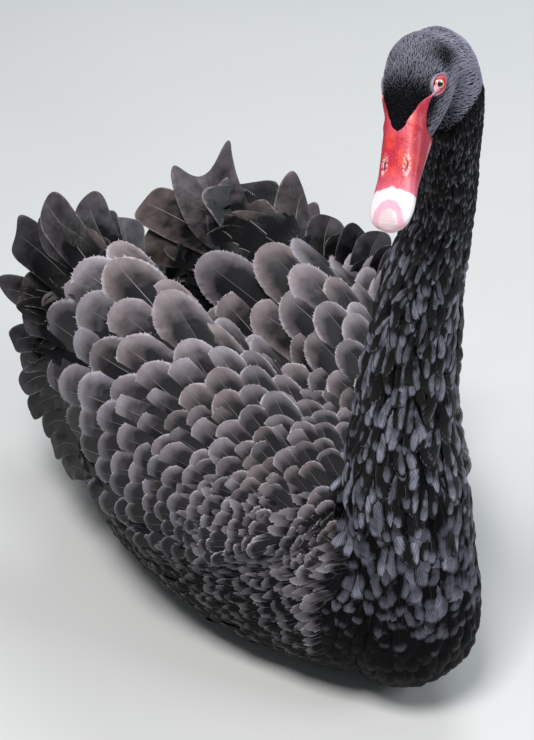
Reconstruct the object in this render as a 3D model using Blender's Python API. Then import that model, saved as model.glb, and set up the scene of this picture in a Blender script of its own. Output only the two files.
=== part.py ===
"""A life-size black swan resting on its belly, in metres with Z up.

The bird faces -Y and its left side is +X. The origin is the middle of the
flat under its belly, where it rests on the floor.
"""

import math
import random

import bmesh
import bpy
from mathutils import Matrix, Vector

# Gaps and thicknesses
GAP = 0.0003
CUT_ALLOWANCE = 0.0005
VANE_THICKNESS = 0.0012
TIP_THICKNESS = 0.0007

# Torso, as stations from breast to rump:
# y, half width, height of the widest level, underside, back
TORSO_STATIONS = (
    (-0.228, 0.000, 0.096, 0.096, 0.096),
    (-0.220, 0.038, 0.096, 0.056, 0.126),
    (-0.199, 0.066, 0.097, 0.030, 0.155),
    (-0.170, 0.086, 0.100, 0.014, 0.178),
    (-0.135, 0.104, 0.104, 0.002, 0.187),
    (-0.090, 0.125, 0.108, -0.008, 0.195),
    (-0.030, 0.142, 0.110, -0.012, 0.199),
    (0.040, 0.147, 0.112, -0.012, 0.199),
    (0.110, 0.139, 0.116, -0.006, 0.197),
    (0.170, 0.116, 0.122, 0.016, 0.193),
    (0.220, 0.084, 0.130, 0.052, 0.187),
    (0.262, 0.046, 0.138, 0.096, 0.176),
    (0.285, 0.000, 0.142, 0.142, 0.142),
)
TORSO_RINGS = 24
TORSO_SIDES = 30
TORSO_FULLNESS = 2.3
NOSE_ROUNDING = 1.0
TORSO_END_WIDTH = 0.03

# Neck and breast column, as centres with a half width, base to nape:
# x, y, z, radius
NECK_X = 0.006
COLUMN_STATIONS = (
    (NECK_X, -0.100, 0.046, 0.036),
    (NECK_X, -0.140, 0.047, 0.044),
    (NECK_X, -0.172, 0.056, 0.0540),
    (NECK_X, -0.189, 0.077, 0.0610),
    (NECK_X, -0.193, 0.102, 0.0573),
    (NECK_X, -0.190, 0.135, 0.0535),
    (NECK_X, -0.186, 0.169, 0.0500),
    (NECK_X, -0.180, 0.205, 0.0475),
    (NECK_X, -0.177, 0.235, 0.0430),
    (NECK_X, -0.177, 0.283, 0.0380),
    (NECK_X, -0.182, 0.333, 0.0335),
    (NECK_X, -0.188, 0.381, 0.0300),
    (NECK_X, -0.196, 0.416, 0.0277),
    (NECK_X, -0.204, 0.443, 0.0252),
    (NECK_X, -0.2125, 0.470, 0.0220),
    (NECK_X, -0.2165, 0.509, 0.0203),
    (NECK_X - 0.0005, -0.2170, 0.535, 0.0212),
    (NECK_X - 0.003, -0.2145, 0.560, 0.0226),
    (NECK_X - 0.013, -0.2145, 0.579, 0.0238),
    (NECK_X - 0.027, -0.2200, 0.585, 0.0236),
    (NECK_X - 0.040, -0.2280, 0.577, 0.0195),
)
COLUMN_SIDES = 22
COLUMN_TOP_OF_TORSO = 8.0
COLUMN_NECK_SPLIT = 11.5
COLUMN_HEAD = 16.3
COLUMN_END = 20.0
RINGS_PER_STATION = 2
COLUMN_STEP = 0.05

# Head, in its own axes: forward along the bill, left, and up
HEAD_CENTRE = Vector((NECK_X - 0.0438, -0.2315, 0.5752))
HEAD_FORWARD = Vector((-0.655, -0.542, -0.527))
HEAD_ROLL = math.radians(18)
HEAD_SIDES = 24
# forward, half width, top, underside
HEAD_STATIONS = (
    (-0.0410, 0.0000, -0.002, -0.002),
    (-0.0385, 0.0105, 0.0110, -0.0125),
    (-0.0290, 0.0190, 0.0215, -0.0200),
    (-0.0140, 0.0230, 0.0265, -0.0250),
    (0.0000, 0.0222, 0.0262, -0.0262),
    (0.0130, 0.0195, 0.0220, -0.0252),
    (0.0250, 0.0165, 0.0155, -0.0220),
    (0.0340, 0.0150, 0.0105, -0.0188),
)
HEAD_RINGS = 13
HEAD_FULLNESS = 2.1

# Bill, in the head's axes: forward, half width, top, mouth line
UPPER_BILL_STATIONS = (
    (0.0343, 0.0157, 0.0100, -0.0112),
    (0.0438, 0.0156, 0.0062, -0.0116),
    (0.0554, 0.0150, 0.0018, -0.0120),
    (0.0661, 0.0146, -0.0020, -0.0124),
    (0.0768, 0.0152, -0.0042, -0.0130),
    (0.0867, 0.0160, -0.0060, -0.0138),
    (0.0940, 0.0142, -0.0084, -0.0150),
    (0.0990, 0.0098, -0.0112, -0.0168),
    (0.1012, 0.0034, -0.0140, -0.0180),
)
# forward, half width, mouth line, underside
LOWER_BILL_STATIONS = (
    (0.0343, 0.0140, -0.0115, -0.0186),
    (0.0483, 0.0134, -0.0121, -0.0184),
    (0.0644, 0.0130, -0.0126, -0.0178),
    (0.0795, 0.0132, -0.0135, -0.0174),
    (0.0893, 0.0122, -0.0146, -0.0173),
    (0.0947, 0.0076, -0.0158, -0.0176),
)
BILL_RINGS = 12
BILL_SIDES = 16
BILL_FULLNESS = 2.4
BILL_ROUNDING = 0.35
NOSTRIL_FORWARD = 0.0632
NOSTRIL_LENGTH = 0.0100
NOSTRIL_HEIGHT = 0.0030
NOSTRIL_DEPTH = 0.0022
NOSTRIL_OUT = 0.80
NOSTRIL_UP = 0.80
NAIL_FORWARD = 0.0928
NAIL_UP = -0.0102
NAIL_SIZE = (0.0085, 0.0078, 0.0042, 1)

# Eyes, in the head's axes
EYE_FORWARD = 0.0010
EYE_UP = 0.0062
EYE_OUT = 0.0170
EYE_RADIUS = 0.0058
LID_RADIUS = 0.0047
LID_THICKNESS = 0.0011
LID_HEIGHT = 0.92
LID_SEGMENTS = 16
LID_SIDES = 5

# Wings, as stations from shoulder to rear tips:
# y, half width, height of the crest, angle of the lower edge, inner edge from the midline
WING_STATIONS = (
    (-0.152, 0.1000, 0.190, 58.0, 0.0020),
    (-0.132, 0.1120, 0.200, 76.0, 0.0020),
    (-0.095, 0.1310, 0.217, 90.0, 0.0020),
    (-0.050, 0.1460, 0.233, 95.0, 0.0020),
    (0.000, 0.1545, 0.250, 97.0, 0.0020),
    (0.060, 0.1525, 0.264, 95.0, 0.0020),
    (0.120, 0.1405, 0.270, 86.0, 0.0090),
    (0.180, 0.1315, 0.271, 80.0, 0.0300),
    (0.235, 0.1225, 0.279, 78.0, 0.0480),
    (0.300, 0.1120, 0.300, 80.0, 0.0600),
)
WING_LEVEL = 0.120
WING_DEPTH = 0.100
WING_FULLNESS = 2.7
WING_SHELL_END = 0.192
WING_GRID_LONG = 10
WING_GRID_ACROSS = 11
WING_SKIN = 0.0015
WING_WALL = 0.013
WING_ROOT = 0.010
WING_REACH = 0.145
WING_LEAVES_BODY = (0.10, 0.19)
BACK_HEIGHT = 0.211
VALLEY_WIDTH = 0.040
MIDLINE_GAP = 0.0010
BIRD_BOX = 0.7

# Tiers of wing feathers: y of the roots, length, width, tip's height over the wing,
# curl of the tip upwards, rings
WING_TIERS = (
    (-0.100, 0.054, 0.034, 0.0040, 0.000, 4),
    (-0.062, 0.062, 0.037, 0.0045, 0.000, 4),
    (-0.022, 0.068, 0.040, 0.0050, 0.000, 4),
    (0.020, 0.074, 0.043, 0.0060, 0.000, 4),
    (0.066, 0.080, 0.045, 0.0080, 0.002, 4),
    (0.112, 0.084, 0.046, 0.0080, 0.005, 4),
)
# Curled feathers at the rear of each wing: root y, root degrees across the wing, the
# tip's distance from the midline, y and z, the width, and the turn about its own length
RIGHT_PLUMES = (
    (0.150, 16.0, 0.065, 0.230, 0.290, 0.038, 0.0),
    (0.152, 33.0, 0.102, 0.230, 0.290, 0.040, 0.0),
    (0.154, 47.0, 0.121, 0.243, 0.258, 0.040, 0.0),
    (0.156, 60.0, 0.134, 0.256, 0.204, 0.038, 0.0),
    (0.156, 70.0, 0.138, 0.230, 0.175, 0.040, 0.0),
    (0.150, 80.0, 0.141, 0.220, 0.130, 0.040, 0.0),
    (0.125, 86.0, 0.136, 0.212, 0.106, 0.038, 0.0),
    (0.070, 92.0, 0.144, 0.130, 0.112, 0.034, 0.0),
)
LEFT_PLUMES = (
    (0.158, 10.0, 0.022, 0.284, 0.243, 0.036, 0.0),
    (0.156, 16.0, 0.040, 0.260, 0.280, 0.040, 0.0),
    (0.152, 28.0, 0.070, 0.237, 0.304, 0.042, 0.0),
    (0.152, 40.0, 0.100, 0.234, 0.298, 0.044, 15.0),
    (0.130, 54.0, 0.128, 0.196, 0.264, 0.042, 30.0),
    (0.095, 54.0, 0.140, 0.160, 0.276, 0.034, 60.0),
    (0.050, 56.0, 0.150, 0.122, 0.248, 0.034, 60.0),
    (0.010, 54.0, 0.144, 0.074, 0.264, 0.032, 60.0),
    (0.156, 66.0, 0.138, 0.250, 0.202, 0.042, 0.0),
    (0.150, 80.0, 0.141, 0.225, 0.150, 0.040, 0.0),
    (0.125, 86.0, 0.136, 0.212, 0.106, 0.038, 0.0),
)
VANE_OVERLAP = 0.80
TOP_INSET = 0.30
LOW_INSET = 4.0
ROOT_SCATTER = 0.004
TURN_SCATTER = 5.0
SIZE_SCATTER = (0.94, 1.06)
HEIGHT_SCATTER = (0.8, 1.3)
CURL_SCATTER = (0.6, 1.5)
ROW_STAGGER = 0.45
VANE_SINK = 0.0055
VANE_CAMBER = 0.10
VANE_SHAPE = ((0.0, 0.46), (0.4, 0.92), (0.72, 1.0), (0.9, 0.80), (1.0, 0.30))
# degrees across the wing, degrees that the feathers there fan downwards
FEATHER_FAN = ((0.0, -8.0), (35.0, 5.0), (65.0, 20.0), (105.0, 36.0))
REAR_FAN = 0.55
FAN_NARROWS = (0.0, 0.16)
WING_SEED = 7
PLUME_RINGS = 5
PLUME_CUP = 0.6
PLUME_BEND = 0.62
PLUME_LIFT = 0.004
NORMAL_STEPS = (0.004, 2.0)

# Tail
TAIL_VANES = 9
TAIL_VANE_WIDTH = 0.028
TAIL_ROOT = Vector((0.0, 0.240, 0.152))
TAIL_STUB = (0.036, 0.044, 0.013, 1.0)
TAIL_LENGTH = 0.108
TAIL_SPREAD = math.radians(27)
TAIL_RISE = 0.06
TAIL_STEP = 0.0014
TAIL_RINGS = 4
TAIL_ROOT_HALF = 0.025
TAIL_ROUNDING = 0.14
TAIL_ROLL = 0.25

# Legs
LEG_X = 0.062
LEG_TOE_Y = 0.100
LEG_SHANK_TOP = Vector((-0.012, 0.022, 0.045))
FOOT_LENGTH = 0.082
FOOT_THICKNESS = 0.0075
# share of the foot's length, half width
FOOT_STATIONS = (
    (0.0, 0.0088),
    (0.12, 0.0142),
    (0.30, 0.0198),
    (0.50, 0.0186),
    (0.75, 0.0131),
    (1.0, 0.0079),
)
FOOT_RINGS = 7
FOOT_SIDES = 12
FOOT_FULLNESS = 3.0
HEEL_SHARE = 0.9
SHANK_RADIUS = 0.0070
SHANK_SIDES = 10
SHANK_RINGS = 3
SHANK_FOOT = 0.001

BLACK = (0.020, 0.020, 0.024)
DARK_GREY = (0.055, 0.053, 0.060)
GREY_BROWN = (0.120, 0.108, 0.112)
BILL_RED = (0.600, 0.045, 0.055)
LEG_GREY = (0.035, 0.035, 0.037)
EYE_RED = (0.450, 0.060, 0.050)


def value_at(rows, x, column=1):
    """Smooth value between rows, without overshoot (monotone cubic)."""
    if x <= rows[0][0]:
        return rows[0][column]
    if x >= rows[-1][0]:
        return rows[-1][column]
    i = max(k for k in range(len(rows) - 1) if rows[k][0] <= x)

    def slope(k):
        return (rows[k + 1][column] - rows[k][column]) / (rows[k + 1][0] - rows[k][0])

    def tangent(k):
        if k == 0:
            return slope(0)
        if k == len(rows) - 1:
            return slope(k - 1)
        a, b = slope(k - 1), slope(k)
        return 2 * a * b / (a + b) if a * b > 0 else 0.0

    h = rows[i + 1][0] - rows[i][0]
    t = (x - rows[i][0]) / h
    low, high = rows[i][column], rows[i + 1][column]
    return (
        (2 * t**3 - 3 * t**2 + 1) * low
        + (t**3 - 2 * t**2 + t) * h * tangent(i)
        + (3 * t**2 - 2 * t**3) * high
        + (t**3 - t**2) * h * tangent(i + 1)
    )


def spread(count, low=0.0, high=1.0):
    """Evenly spaced values from low to high."""
    return [low + (high - low) * k / (count - 1) for k in range(count)]


def rounded_spread(count, low, high, rounding=1.0):
    """Values from low to high, closer together at both ends."""
    values = []
    for t in spread(count):
        eased = 0.5 - 0.5 * math.cos(math.pi * t)
        values.append(low + (high - low) * (rounding * eased + (1 - rounding) * t))
    return values


def smooth_step(low, high, value):
    t = min(1.0, max(0.0, (value - low) / (high - low)))
    return t * t * (3 - 2 * t)


def power(value, exponent):
    return math.copysign(abs(value) ** exponent, value)


def superellipse(angle, half_width, level, low, high, fullness):
    """(sideways, up) on an egg-shaped section; angle 0 is the top."""
    side, up = power(math.sin(angle), 2 / fullness), power(math.cos(angle), 2 / fullness)
    return half_width * side, level + up * ((high - level) if up > 0 else (level - low))


def linked(name, mesh):
    obj = bpy.data.objects.new(name, mesh)
    bpy.context.scene.collection.objects.link(obj)
    return obj


def mesh_of(name, verts, faces):
    """A closed mesh object whose faces point out."""
    mesh = bpy.data.meshes.new(name)
    bm = bmesh.new()
    made = [bm.verts.new(v) for v in verts]
    for face in faces:
        bm.faces.new([made[k] for k in face])
    bmesh.ops.remove_doubles(bm, verts=bm.verts, dist=1e-6)
    bmesh.ops.recalc_face_normals(bm, faces=bm.faces)
    if bm.calc_volume(signed=True) < 0:
        bmesh.ops.reverse_faces(bm, faces=bm.faces)
    bm.to_mesh(mesh)
    bm.free()
    return linked(name, mesh)


def lofted(name, rings):
    """A closed body through rings of equal count, with a fan or a point at each end."""
    sides = len(rings[0])
    verts = [v for ring in rings for v in ring]
    faces = []
    for r in range(len(rings) - 1):
        for k in range(sides):
            n = (k + 1) % sides
            a, b = r * sides, (r + 1) * sides
            faces += [(a + k, a + n, b + n), (a + k, b + n, b + k)]
    last = (len(rings) - 1) * sides
    for start, ring, flip in ((0, rings[0], True), (last, rings[-1], False)):
        centre = sum(ring, Vector()) / sides
        verts.append(centre)
        middle = len(verts) - 1
        for k in range(sides):
            n = (k + 1) % sides
            face = (start + k, start + n, middle)
            faces.append(face[::-1] if flip else face)
    return without_folded_faces(name, verts, faces)


def without_folded_faces(name, verts, faces):
    """Merges the points of a pole and drops the faces that this folds away."""
    index, kept = {}, []
    for v in verts:
        key = tuple(round(c, 6) for c in v)
        if key not in index:
            index[key] = len(kept)
            kept.append(v)
    turned = []
    for face in faces:
        ids = []
        for k in face:
            new = index[tuple(round(c, 6) for c in verts[k])]
            if new not in ids:
                ids.append(new)
        if len(ids) > 2:
            turned.append(ids)
    return mesh_of(name, kept, turned)


def apply_modifiers(obj):
    graph = bpy.context.evaluated_depsgraph_get()
    mesh = bpy.data.meshes.new_from_object(obj.evaluated_get(graph))
    obj.modifiers.clear()
    obj.data = mesh


def remove(objects):
    for obj in list(objects):
        bpy.data.objects.remove(obj)


def boolean(obj, operation, other):
    """Applies one Boolean with an object or a collection."""
    change = obj.modifiers.new(operation.lower(), "BOOLEAN")
    change.operation = operation
    change.solver = "EXACT"
    if isinstance(other, bpy.types.Collection):
        change.operand_type = "COLLECTION"
        change.collection = other
    else:
        change.object = other
    apply_modifiers(obj)


def keep_largest(obj):
    """Keeps the surface that holds the most, and drops any scrap or sealed hollow."""
    bm = bmesh.new()
    bm.from_mesh(obj.data)
    left, groups = set(bm.faces), []
    while left:
        todo, group = [left.pop()], []
        while todo:
            face = todo.pop()
            group.append(face)
            for edge in face.edges:
                for near in edge.link_faces:
                    if near in left:
                        left.remove(near)
                        todo.append(near)
        groups.append(group)

    def size(group):
        xs = [v.co for f in group for v in f.verts]
        spans = (max(c[k] for c in xs) - min(c[k] for c in xs) for k in range(3))
        return math.prod(spans)

    groups.sort(key=size, reverse=True)
    drop = [f for group in groups[1:] for f in group]
    bmesh.ops.delete(bm, geom=drop, context="FACES")
    bm.to_mesh(obj.data)
    bm.free()


def fuse(name, pieces, cutters=()):
    """One node from overlapping closed pieces, cut back from its neighbours."""
    node = pieces[0]
    node.name = name
    node.data.name = name
    if len(pieces) > 1:
        joined = bpy.data.collections.new("joined")
        for piece in pieces[1:]:
            bpy.context.scene.collection.objects.unlink(piece)
            joined.objects.link(piece)
        bpy.context.scene.collection.children.link(joined)
        boolean(node, "UNION", joined)
        remove(joined.objects)
        bpy.data.collections.remove(joined)
    for cutter in cutters:
        boolean(node, "DIFFERENCE", cutter)
    keep_largest(node)
    return node


def finish(obj, colour, roughness, smooth_angle=50):
    """Gives a node its material and its shading."""
    material = bpy.data.materials.new(obj.name)
    material.use_nodes = True
    shader = material.node_tree.nodes["Principled BSDF"]
    shader.inputs["Base Color"].default_value = (*colour, 1)
    shader.inputs["Roughness"].default_value = roughness
    obj.data.materials.clear()
    obj.data.materials.append(material)
    obj.data.shade_smooth()
    obj.data.set_sharp_from_angle(angle=math.radians(smooth_angle))


def torso_section(y, angle, grow=0.0):
    """A point on the torso's surface; angle 0 is the back, positive towards +X."""
    width, level, low, high = (value_at(TORSO_STATIONS, y, c) for c in (1, 2, 3, 4))
    ends = min(1.0, width / TORSO_END_WIDTH)
    x, z = superellipse(
        angle,
        width + grow * ends,
        level,
        low - grow * ends,
        high + grow * ends,
        TORSO_FULLNESS,
    )
    return Vector((x, y, z))


def torso_shell(name, grow=0.0):
    front, back = TORSO_STATIONS[0][0], TORSO_STATIONS[-1][0]
    rings = []
    for y in rounded_spread(TORSO_RINGS, front, back, NOSE_ROUNDING):
        ring = []
        for k in range(TORSO_SIDES):
            point = torso_section(y, math.tau * k / TORSO_SIDES, grow)
            middle = 0.5 * (front + back)
            point.y += grow * 2 * (point.y - middle) / (back - front)
            point.z = max(point.z, -grow)
            ring.append(point)
        rings.append(ring)
    return lofted(name, rings)


def column_place(t):
    """Centre and radius of the neck column at station t, on a smooth curve."""
    last = len(COLUMN_STATIONS) - 1
    i = min(int(t), last - 1)
    s = t - i
    picks = [COLUMN_STATIONS[min(max(i + k, 0), last)] for k in (-1, 0, 1, 2)]
    weights = (
        -0.5 * s + s**2 - 0.5 * s**3,
        1 - 2.5 * s**2 + 1.5 * s**3,
        0.5 * s + 2 * s**2 - 1.5 * s**3,
        -0.5 * s**2 + 0.5 * s**3,
    )
    mixed = [sum(w * p[c] for w, p in zip(weights, picks)) for c in range(4)]
    return Vector(mixed[:3]), mixed[3]


def column_ring(t, grow=0.0, shift=0.0):
    centre, radius = column_place(t)
    ahead, _ = column_place(min(t + COLUMN_STEP, COLUMN_END))
    behind, _ = column_place(max(t - COLUMN_STEP, 0.0))
    along = (ahead - behind).normalized()
    if t < 1.0:
        along = Vector((0, 0, 1))
    left = Vector((1, 0, 0))
    left = (left - along * left.dot(along)).normalized()
    front = along.cross(left)
    centre = centre + along * shift
    ring = []
    for k in range(COLUMN_SIDES):
        a = math.tau * k / COLUMN_SIDES
        ring.append(centre + (left * math.cos(a) + front * math.sin(a)) * (radius + grow))
    return ring


def column_length(name, start, end, grow=0.0, start_shift=0.0, end_shift=0.0):
    """One length of the neck column from station start to end, with flat ends."""
    steps = max(2, round((end - start) * RINGS_PER_STATION))
    rings = []
    for k in range(steps + 1):
        t = start + (end - start) * k / steps
        shift = start_shift if k == 0 else end_shift if k == steps else 0.0
        rings.append(column_ring(t, grow, shift))
    return lofted(name, rings)


def head_axes():
    """The head's forward, left and up directions."""
    forward = HEAD_FORWARD.normalized()
    left = Vector((0, 0, 1)).cross(forward).normalized()
    up = forward.cross(left).normalized()
    turn = Matrix.Rotation(HEAD_ROLL, 3, forward)
    return forward, turn @ left, turn @ up


def head_point(forward, left, up):
    axes = head_axes()
    return HEAD_CENTRE + axes[0] * forward + axes[1] * left + axes[2] * up


def head_matrix(forward, left, up):
    """Places a piece made at the origin, with X forward, Y left and Z up."""
    axes = head_axes()
    turn = Matrix([axes[0], axes[1], axes[2]]).transposed().to_4x4()
    return Matrix.Translation(head_point(forward, left, up)) @ turn


def section_loft(name, rows, rings_count, sides, fullness, rounding=0.0):
    """A body in the head's axes through rows of forward, half width, top, underside."""
    rings = []
    for f in rounded_spread(rings_count, rows[0][0], rows[-1][0], rounding):
        width, top, low = (value_at(rows, f, c) for c in (1, 2, 3))
        level = 0.5 * (top + low)
        ring = []
        for k in range(sides):
            y, z = superellipse(math.tau * k / sides, width, level, low, top, fullness)
            ring.append(head_point(f, y, z))
        rings.append(ring)
    return lofted(name, rings)


def bill_loft(name, rows):
    return section_loft(name, rows, BILL_RINGS, BILL_SIDES, BILL_FULLNESS, BILL_ROUNDING)


def head_side(forward, up):
    """How far the side of the skull stands from its middle."""
    width, top, low = (value_at(HEAD_STATIONS, forward, c) for c in (1, 2, 3))
    share = abs(2 * up - top - low) / (top - low)
    return width * (1 - share**HEAD_FULLNESS) ** (1 / HEAD_FULLNESS)


def ball(name, centre, radius, segments=16, rings=10):
    mesh = bpy.data.meshes.new(name)
    bm = bmesh.new()
    bmesh.ops.create_uvsphere(
        bm,
        u_segments=segments,
        v_segments=rings,
        radius=radius,
        matrix=Matrix.Translation(centre),
    )
    bm.to_mesh(mesh)
    bm.free()
    return linked(name, mesh)


def lid_ring(name, side):
    """The bare rim round an eye, a ring that lies on the side of the head."""
    verts, faces = [], []
    for k in range(LID_SEGMENTS):
        a = math.tau * k / LID_SEGMENTS
        forward = EYE_FORWARD + LID_RADIUS * math.cos(a)
        up = EYE_UP + LID_HEIGHT * LID_RADIUS * math.sin(a)
        middle = head_point(forward, side * head_side(forward, up), up)
        away = head_point(EYE_FORWARD, side * head_side(forward, up), EYE_UP)
        away = (middle - away).normalized()
        out = head_axes()[1] * side
        for j in range(LID_SIDES):
            b = math.tau * j / LID_SIDES
            verts.append(middle + (away * math.cos(b) + out * math.sin(b)) * LID_THICKNESS)
    for k in range(LID_SEGMENTS):
        for j in range(LID_SIDES):
            n = (j + 1) % LID_SIDES
            a, b = k * LID_SIDES, (k + 1) % LID_SEGMENTS * LID_SIDES
            faces.append((a + j, a + n, b + n, b + j))
    return mesh_of(name, verts, faces)


def make_head():
    """Skull, cheeks and the arch of the nape, with a socket and rim for each eye."""
    skull = section_loft(
        "skull", HEAD_STATIONS, HEAD_RINGS, HEAD_SIDES, HEAD_FULLNESS
    )
    nape = column_length("nape", COLUMN_HEAD, COLUMN_END, start_shift=GAP)
    rims = [lid_ring("rim", side) for side in (1, -1)]
    sockets = [
        ball("socket", head_point(EYE_FORWARD, side * EYE_OUT, EYE_UP), EYE_RADIUS + GAP)
        for side in (1, -1)
    ]
    head = fuse("head", [skull, nape, *rims], sockets)
    remove(sockets)
    finish(head, DARK_GREY, 0.8)


def make_eyes():
    for name, side in (("eye_left", 1), ("eye_right", -1)):
        eye = ball(name, head_point(EYE_FORWARD, side * EYE_OUT, EYE_UP), EYE_RADIUS)
        finish(eye, EYE_RED, 0.1)


def nostril_cutter(side):
    """A slot-shaped pit in the side of the upper bill."""
    top = value_at(UPPER_BILL_STATIONS, NOSTRIL_FORWARD, 2)
    low = value_at(UPPER_BILL_STATIONS, NOSTRIL_FORWARD, 3)
    width = value_at(UPPER_BILL_STATIONS, NOSTRIL_FORWARD, 1)
    cutter = ball("nostril", Vector(), 1.0, 12, 8)
    size = Matrix.Diagonal((NOSTRIL_LENGTH / 2, NOSTRIL_DEPTH, NOSTRIL_HEIGHT / 2, 1))
    up = low + NOSTRIL_UP * (top - low)
    place = head_matrix(NOSTRIL_FORWARD, side * width * NOSTRIL_OUT, up)
    cutter.data.transform(place @ size)
    return cutter


def make_bill():
    """Upper bill with nostrils and a nail at its tip, and lower bill under it."""
    upper = bill_loft("upper_bill", UPPER_BILL_STATIONS)
    nail = ball("nail", Vector(), 1.0, 12, 8)
    place = head_matrix(NAIL_FORWARD, 0, NAIL_UP)
    nail.data.transform(place @ Matrix.Diagonal(NAIL_SIZE))
    nostrils = [nostril_cutter(side) for side in (1, -1)]
    upper = fuse("upper_bill", [upper, nail], nostrils)
    remove(nostrils)
    finish(upper, BILL_RED, 0.3)
    lower = bill_loft("lower_bill", LOWER_BILL_STATIONS)
    grown = []
    for row in UPPER_BILL_STATIONS:
        grown.append((row[0], row[1] + GAP, row[2] + GAP, row[3] - GAP))
    cutter = bill_loft("bill_room", grown)
    lower = fuse("lower_bill", [lower], [cutter])
    remove([cutter])
    finish(lower, BILL_RED, 0.3)


def make_torso():
    """Breast, back, belly and rump; the belly has a small flat at floor level."""
    body = torso_shell("body")
    breast = column_length("breast", 0.0, COLUMN_TOP_OF_TORSO)
    torso = fuse("torso", [body, breast])
    finish(torso, DARK_GREY, 0.85)


def make_neck():
    lower = column_length(
        "neck_lower", COLUMN_TOP_OF_TORSO, COLUMN_NECK_SPLIT, start_shift=GAP
    )
    finish(lower, BLACK, 0.85)
    upper = column_length(
        "neck_upper", COLUMN_NECK_SPLIT, COLUMN_HEAD, start_shift=GAP
    )
    finish(upper, BLACK, 0.85)


def wing_point(side, y, degrees, out=0.0):
    """A point on a wing's outer surface; 0 degrees is the midline, 90 the widest."""
    y = min(max(y, WING_STATIONS[0][0]), WING_STATIONS[-1][0])
    width = value_at(WING_STATIONS, y, 1)
    crest = value_at(WING_STATIONS, y, 2)
    angle = math.radians(degrees)
    x, z = superellipse(
        angle, width, WING_LEVEL, WING_LEVEL - WING_DEPTH, crest, WING_FULLNESS
    )
    z -= (crest - BACK_HEIGHT) * math.exp(-((x / VALLEY_WIDTH) ** 2))
    spoke = Vector((x, 0.0, z - WING_LEVEL)).normalized()
    return Vector((side * x, y, z)) + Vector((side * spoke.x, 0.0, spoke.z)) * out


def wing_inside(side, y, degrees):
    """The wing's inner face: sunk in the body in front, a free wall at the rear."""
    outer = wing_point(side, y, degrees, -WING_WALL)
    body_y = min(y, TORSO_STATIONS[-2][0])
    sunk = torso_section(body_y, math.radians(degrees), -WING_ROOT)
    sunk = Vector((side * sunk.x, y, sunk.z))
    return sunk.lerp(outer, smooth_step(*WING_LEAVES_BODY, y))


def closed_grid(name, layers):
    """A closed body between two grids of points, outer and inner."""
    rows, columns = len(layers[0]), len(layers[0][0])
    verts = [v for layer in layers for row in layer for v in row]
    faces = []

    def at(layer, i, j):
        return (layer * rows + i) * columns + j

    def split(a, b, c, d):
        faces.extend(((a, b, c), (a, c, d)))

    for layer in (0, 1):
        for i in range(rows - 1):
            for j in range(columns - 1):
                near, far = at(layer, i, j), at(layer, i + 1, j)
                split(near, far, far + 1, near + 1)
    for i in range(rows - 1):
        for j in (0, columns - 1):
            split(at(0, i, j), at(0, i + 1, j), at(1, i + 1, j), at(1, i, j))
    for j in range(columns - 1):
        for i in (0, rows - 1):
            split(at(0, i, j), at(0, i, j + 1), at(1, i, j + 1), at(1, i, j))
    return mesh_of(name, verts, faces)


def crest_degrees(width, distance):
    """The angle across the wing at a distance from the midline."""
    return math.degrees(math.asin((distance / width) ** (WING_FULLNESS / 2)))


def wing_core(name, side, end):
    """The fleshy part of a folded wing, over the flank and sunk in the torso."""
    outer, inner = [], []
    for y in spread(WING_GRID_LONG, WING_STATIONS[0][0], end):
        width, low, inset = (value_at(WING_STATIONS, y, c) for c in (1, 3, 4))
        out_row, in_row = [], []
        for degrees in spread(WING_GRID_ACROSS, crest_degrees(width, inset), low):
            out_row.append(wing_point(side, y, degrees, WING_SKIN))
            in_row.append(wing_inside(side, y, degrees))
        outer.append(out_row)
        inner.append(in_row)
    return closed_grid(name, (outer, inner))


def wing_normal(side, y, degrees):
    """The outward direction on a wing's surface."""
    step_y, step_a = NORMAL_STEPS
    along = wing_point(side, y + step_y, degrees) - wing_point(side, y - step_y, degrees)
    across = wing_point(side, y, degrees + step_a) - wing_point(side, y, degrees - step_a)
    return (across.cross(along) * side).normalized()


def vane(name, path, normals, width, cup):
    """A feather: a thin tapered blade along a path, split alike on both faces.

    The blade is cambered, with its shaft high, and cup lifts both edges of its tip.
    """
    rings, last = [], len(path) - 1
    for k, (place, normal) in enumerate(zip(path, normals)):
        t = k / last
        along = (path[min(k + 1, last)] - path[max(k - 1, 0)]).normalized()
        across = along.cross(normal).normalized()
        up = across.cross(along).normalized()
        half = 0.5 * width * value_at(VANE_SHAPE, t)
        thick = 0.5 * (VANE_THICKNESS + (TIP_THICKNESS - VANE_THICKNESS) * t)
        edge = up * (cup * t * t - VANE_CAMBER * (1 - t)) * half
        left, right = place - across * half + edge, place + across * half + edge
        rings.append([p + up * thick for p in (left, place, right)])
        rings[-1] += [p - up * thick for p in (left, place, right)]
    verts = [v for ring in rings for v in ring]
    faces = [(0, 1, 4), (0, 4, 3), (1, 2, 5), (1, 5, 4)]
    end = 6 * last
    faces += [tuple(end + c for c in face) for face in faces]
    for k in range(last):
        a, b = 6 * k, 6 * k + 6
        for i, j in ((0, 1), (1, 2), (3, 4), (4, 5), (0, 3), (2, 5)):
            faces += [(a + i, a + j, b + j), (a + i, b + j, b + i)]
    return mesh_of(name, verts, faces)


def wing_vane(side, y, degrees, length, width, height, curl, rings, turn):
    """A feather rooted in the wing at (y, degrees), laid back over its surface."""
    rear = 1 - (1 - REAR_FAN) * smooth_step(*FAN_NARROWS, y)
    fan = math.radians(value_at(FEATHER_FAN, degrees) * rear + turn)
    path, normals = [], []
    for t in spread(rings):
        at_y = y + length * t * math.cos(fan)
        at = degrees + math.degrees(length * t * math.sin(fan) / WING_REACH)
        normal = wing_normal(side, at_y, at)
        out = -VANE_SINK + (VANE_SINK + height) * t + curl * t**3
        path.append(wing_point(side, at_y, at) + normal * out)
        normals.append(normal)
    return vane("vane", path, normals, width, 0.0)


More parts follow.
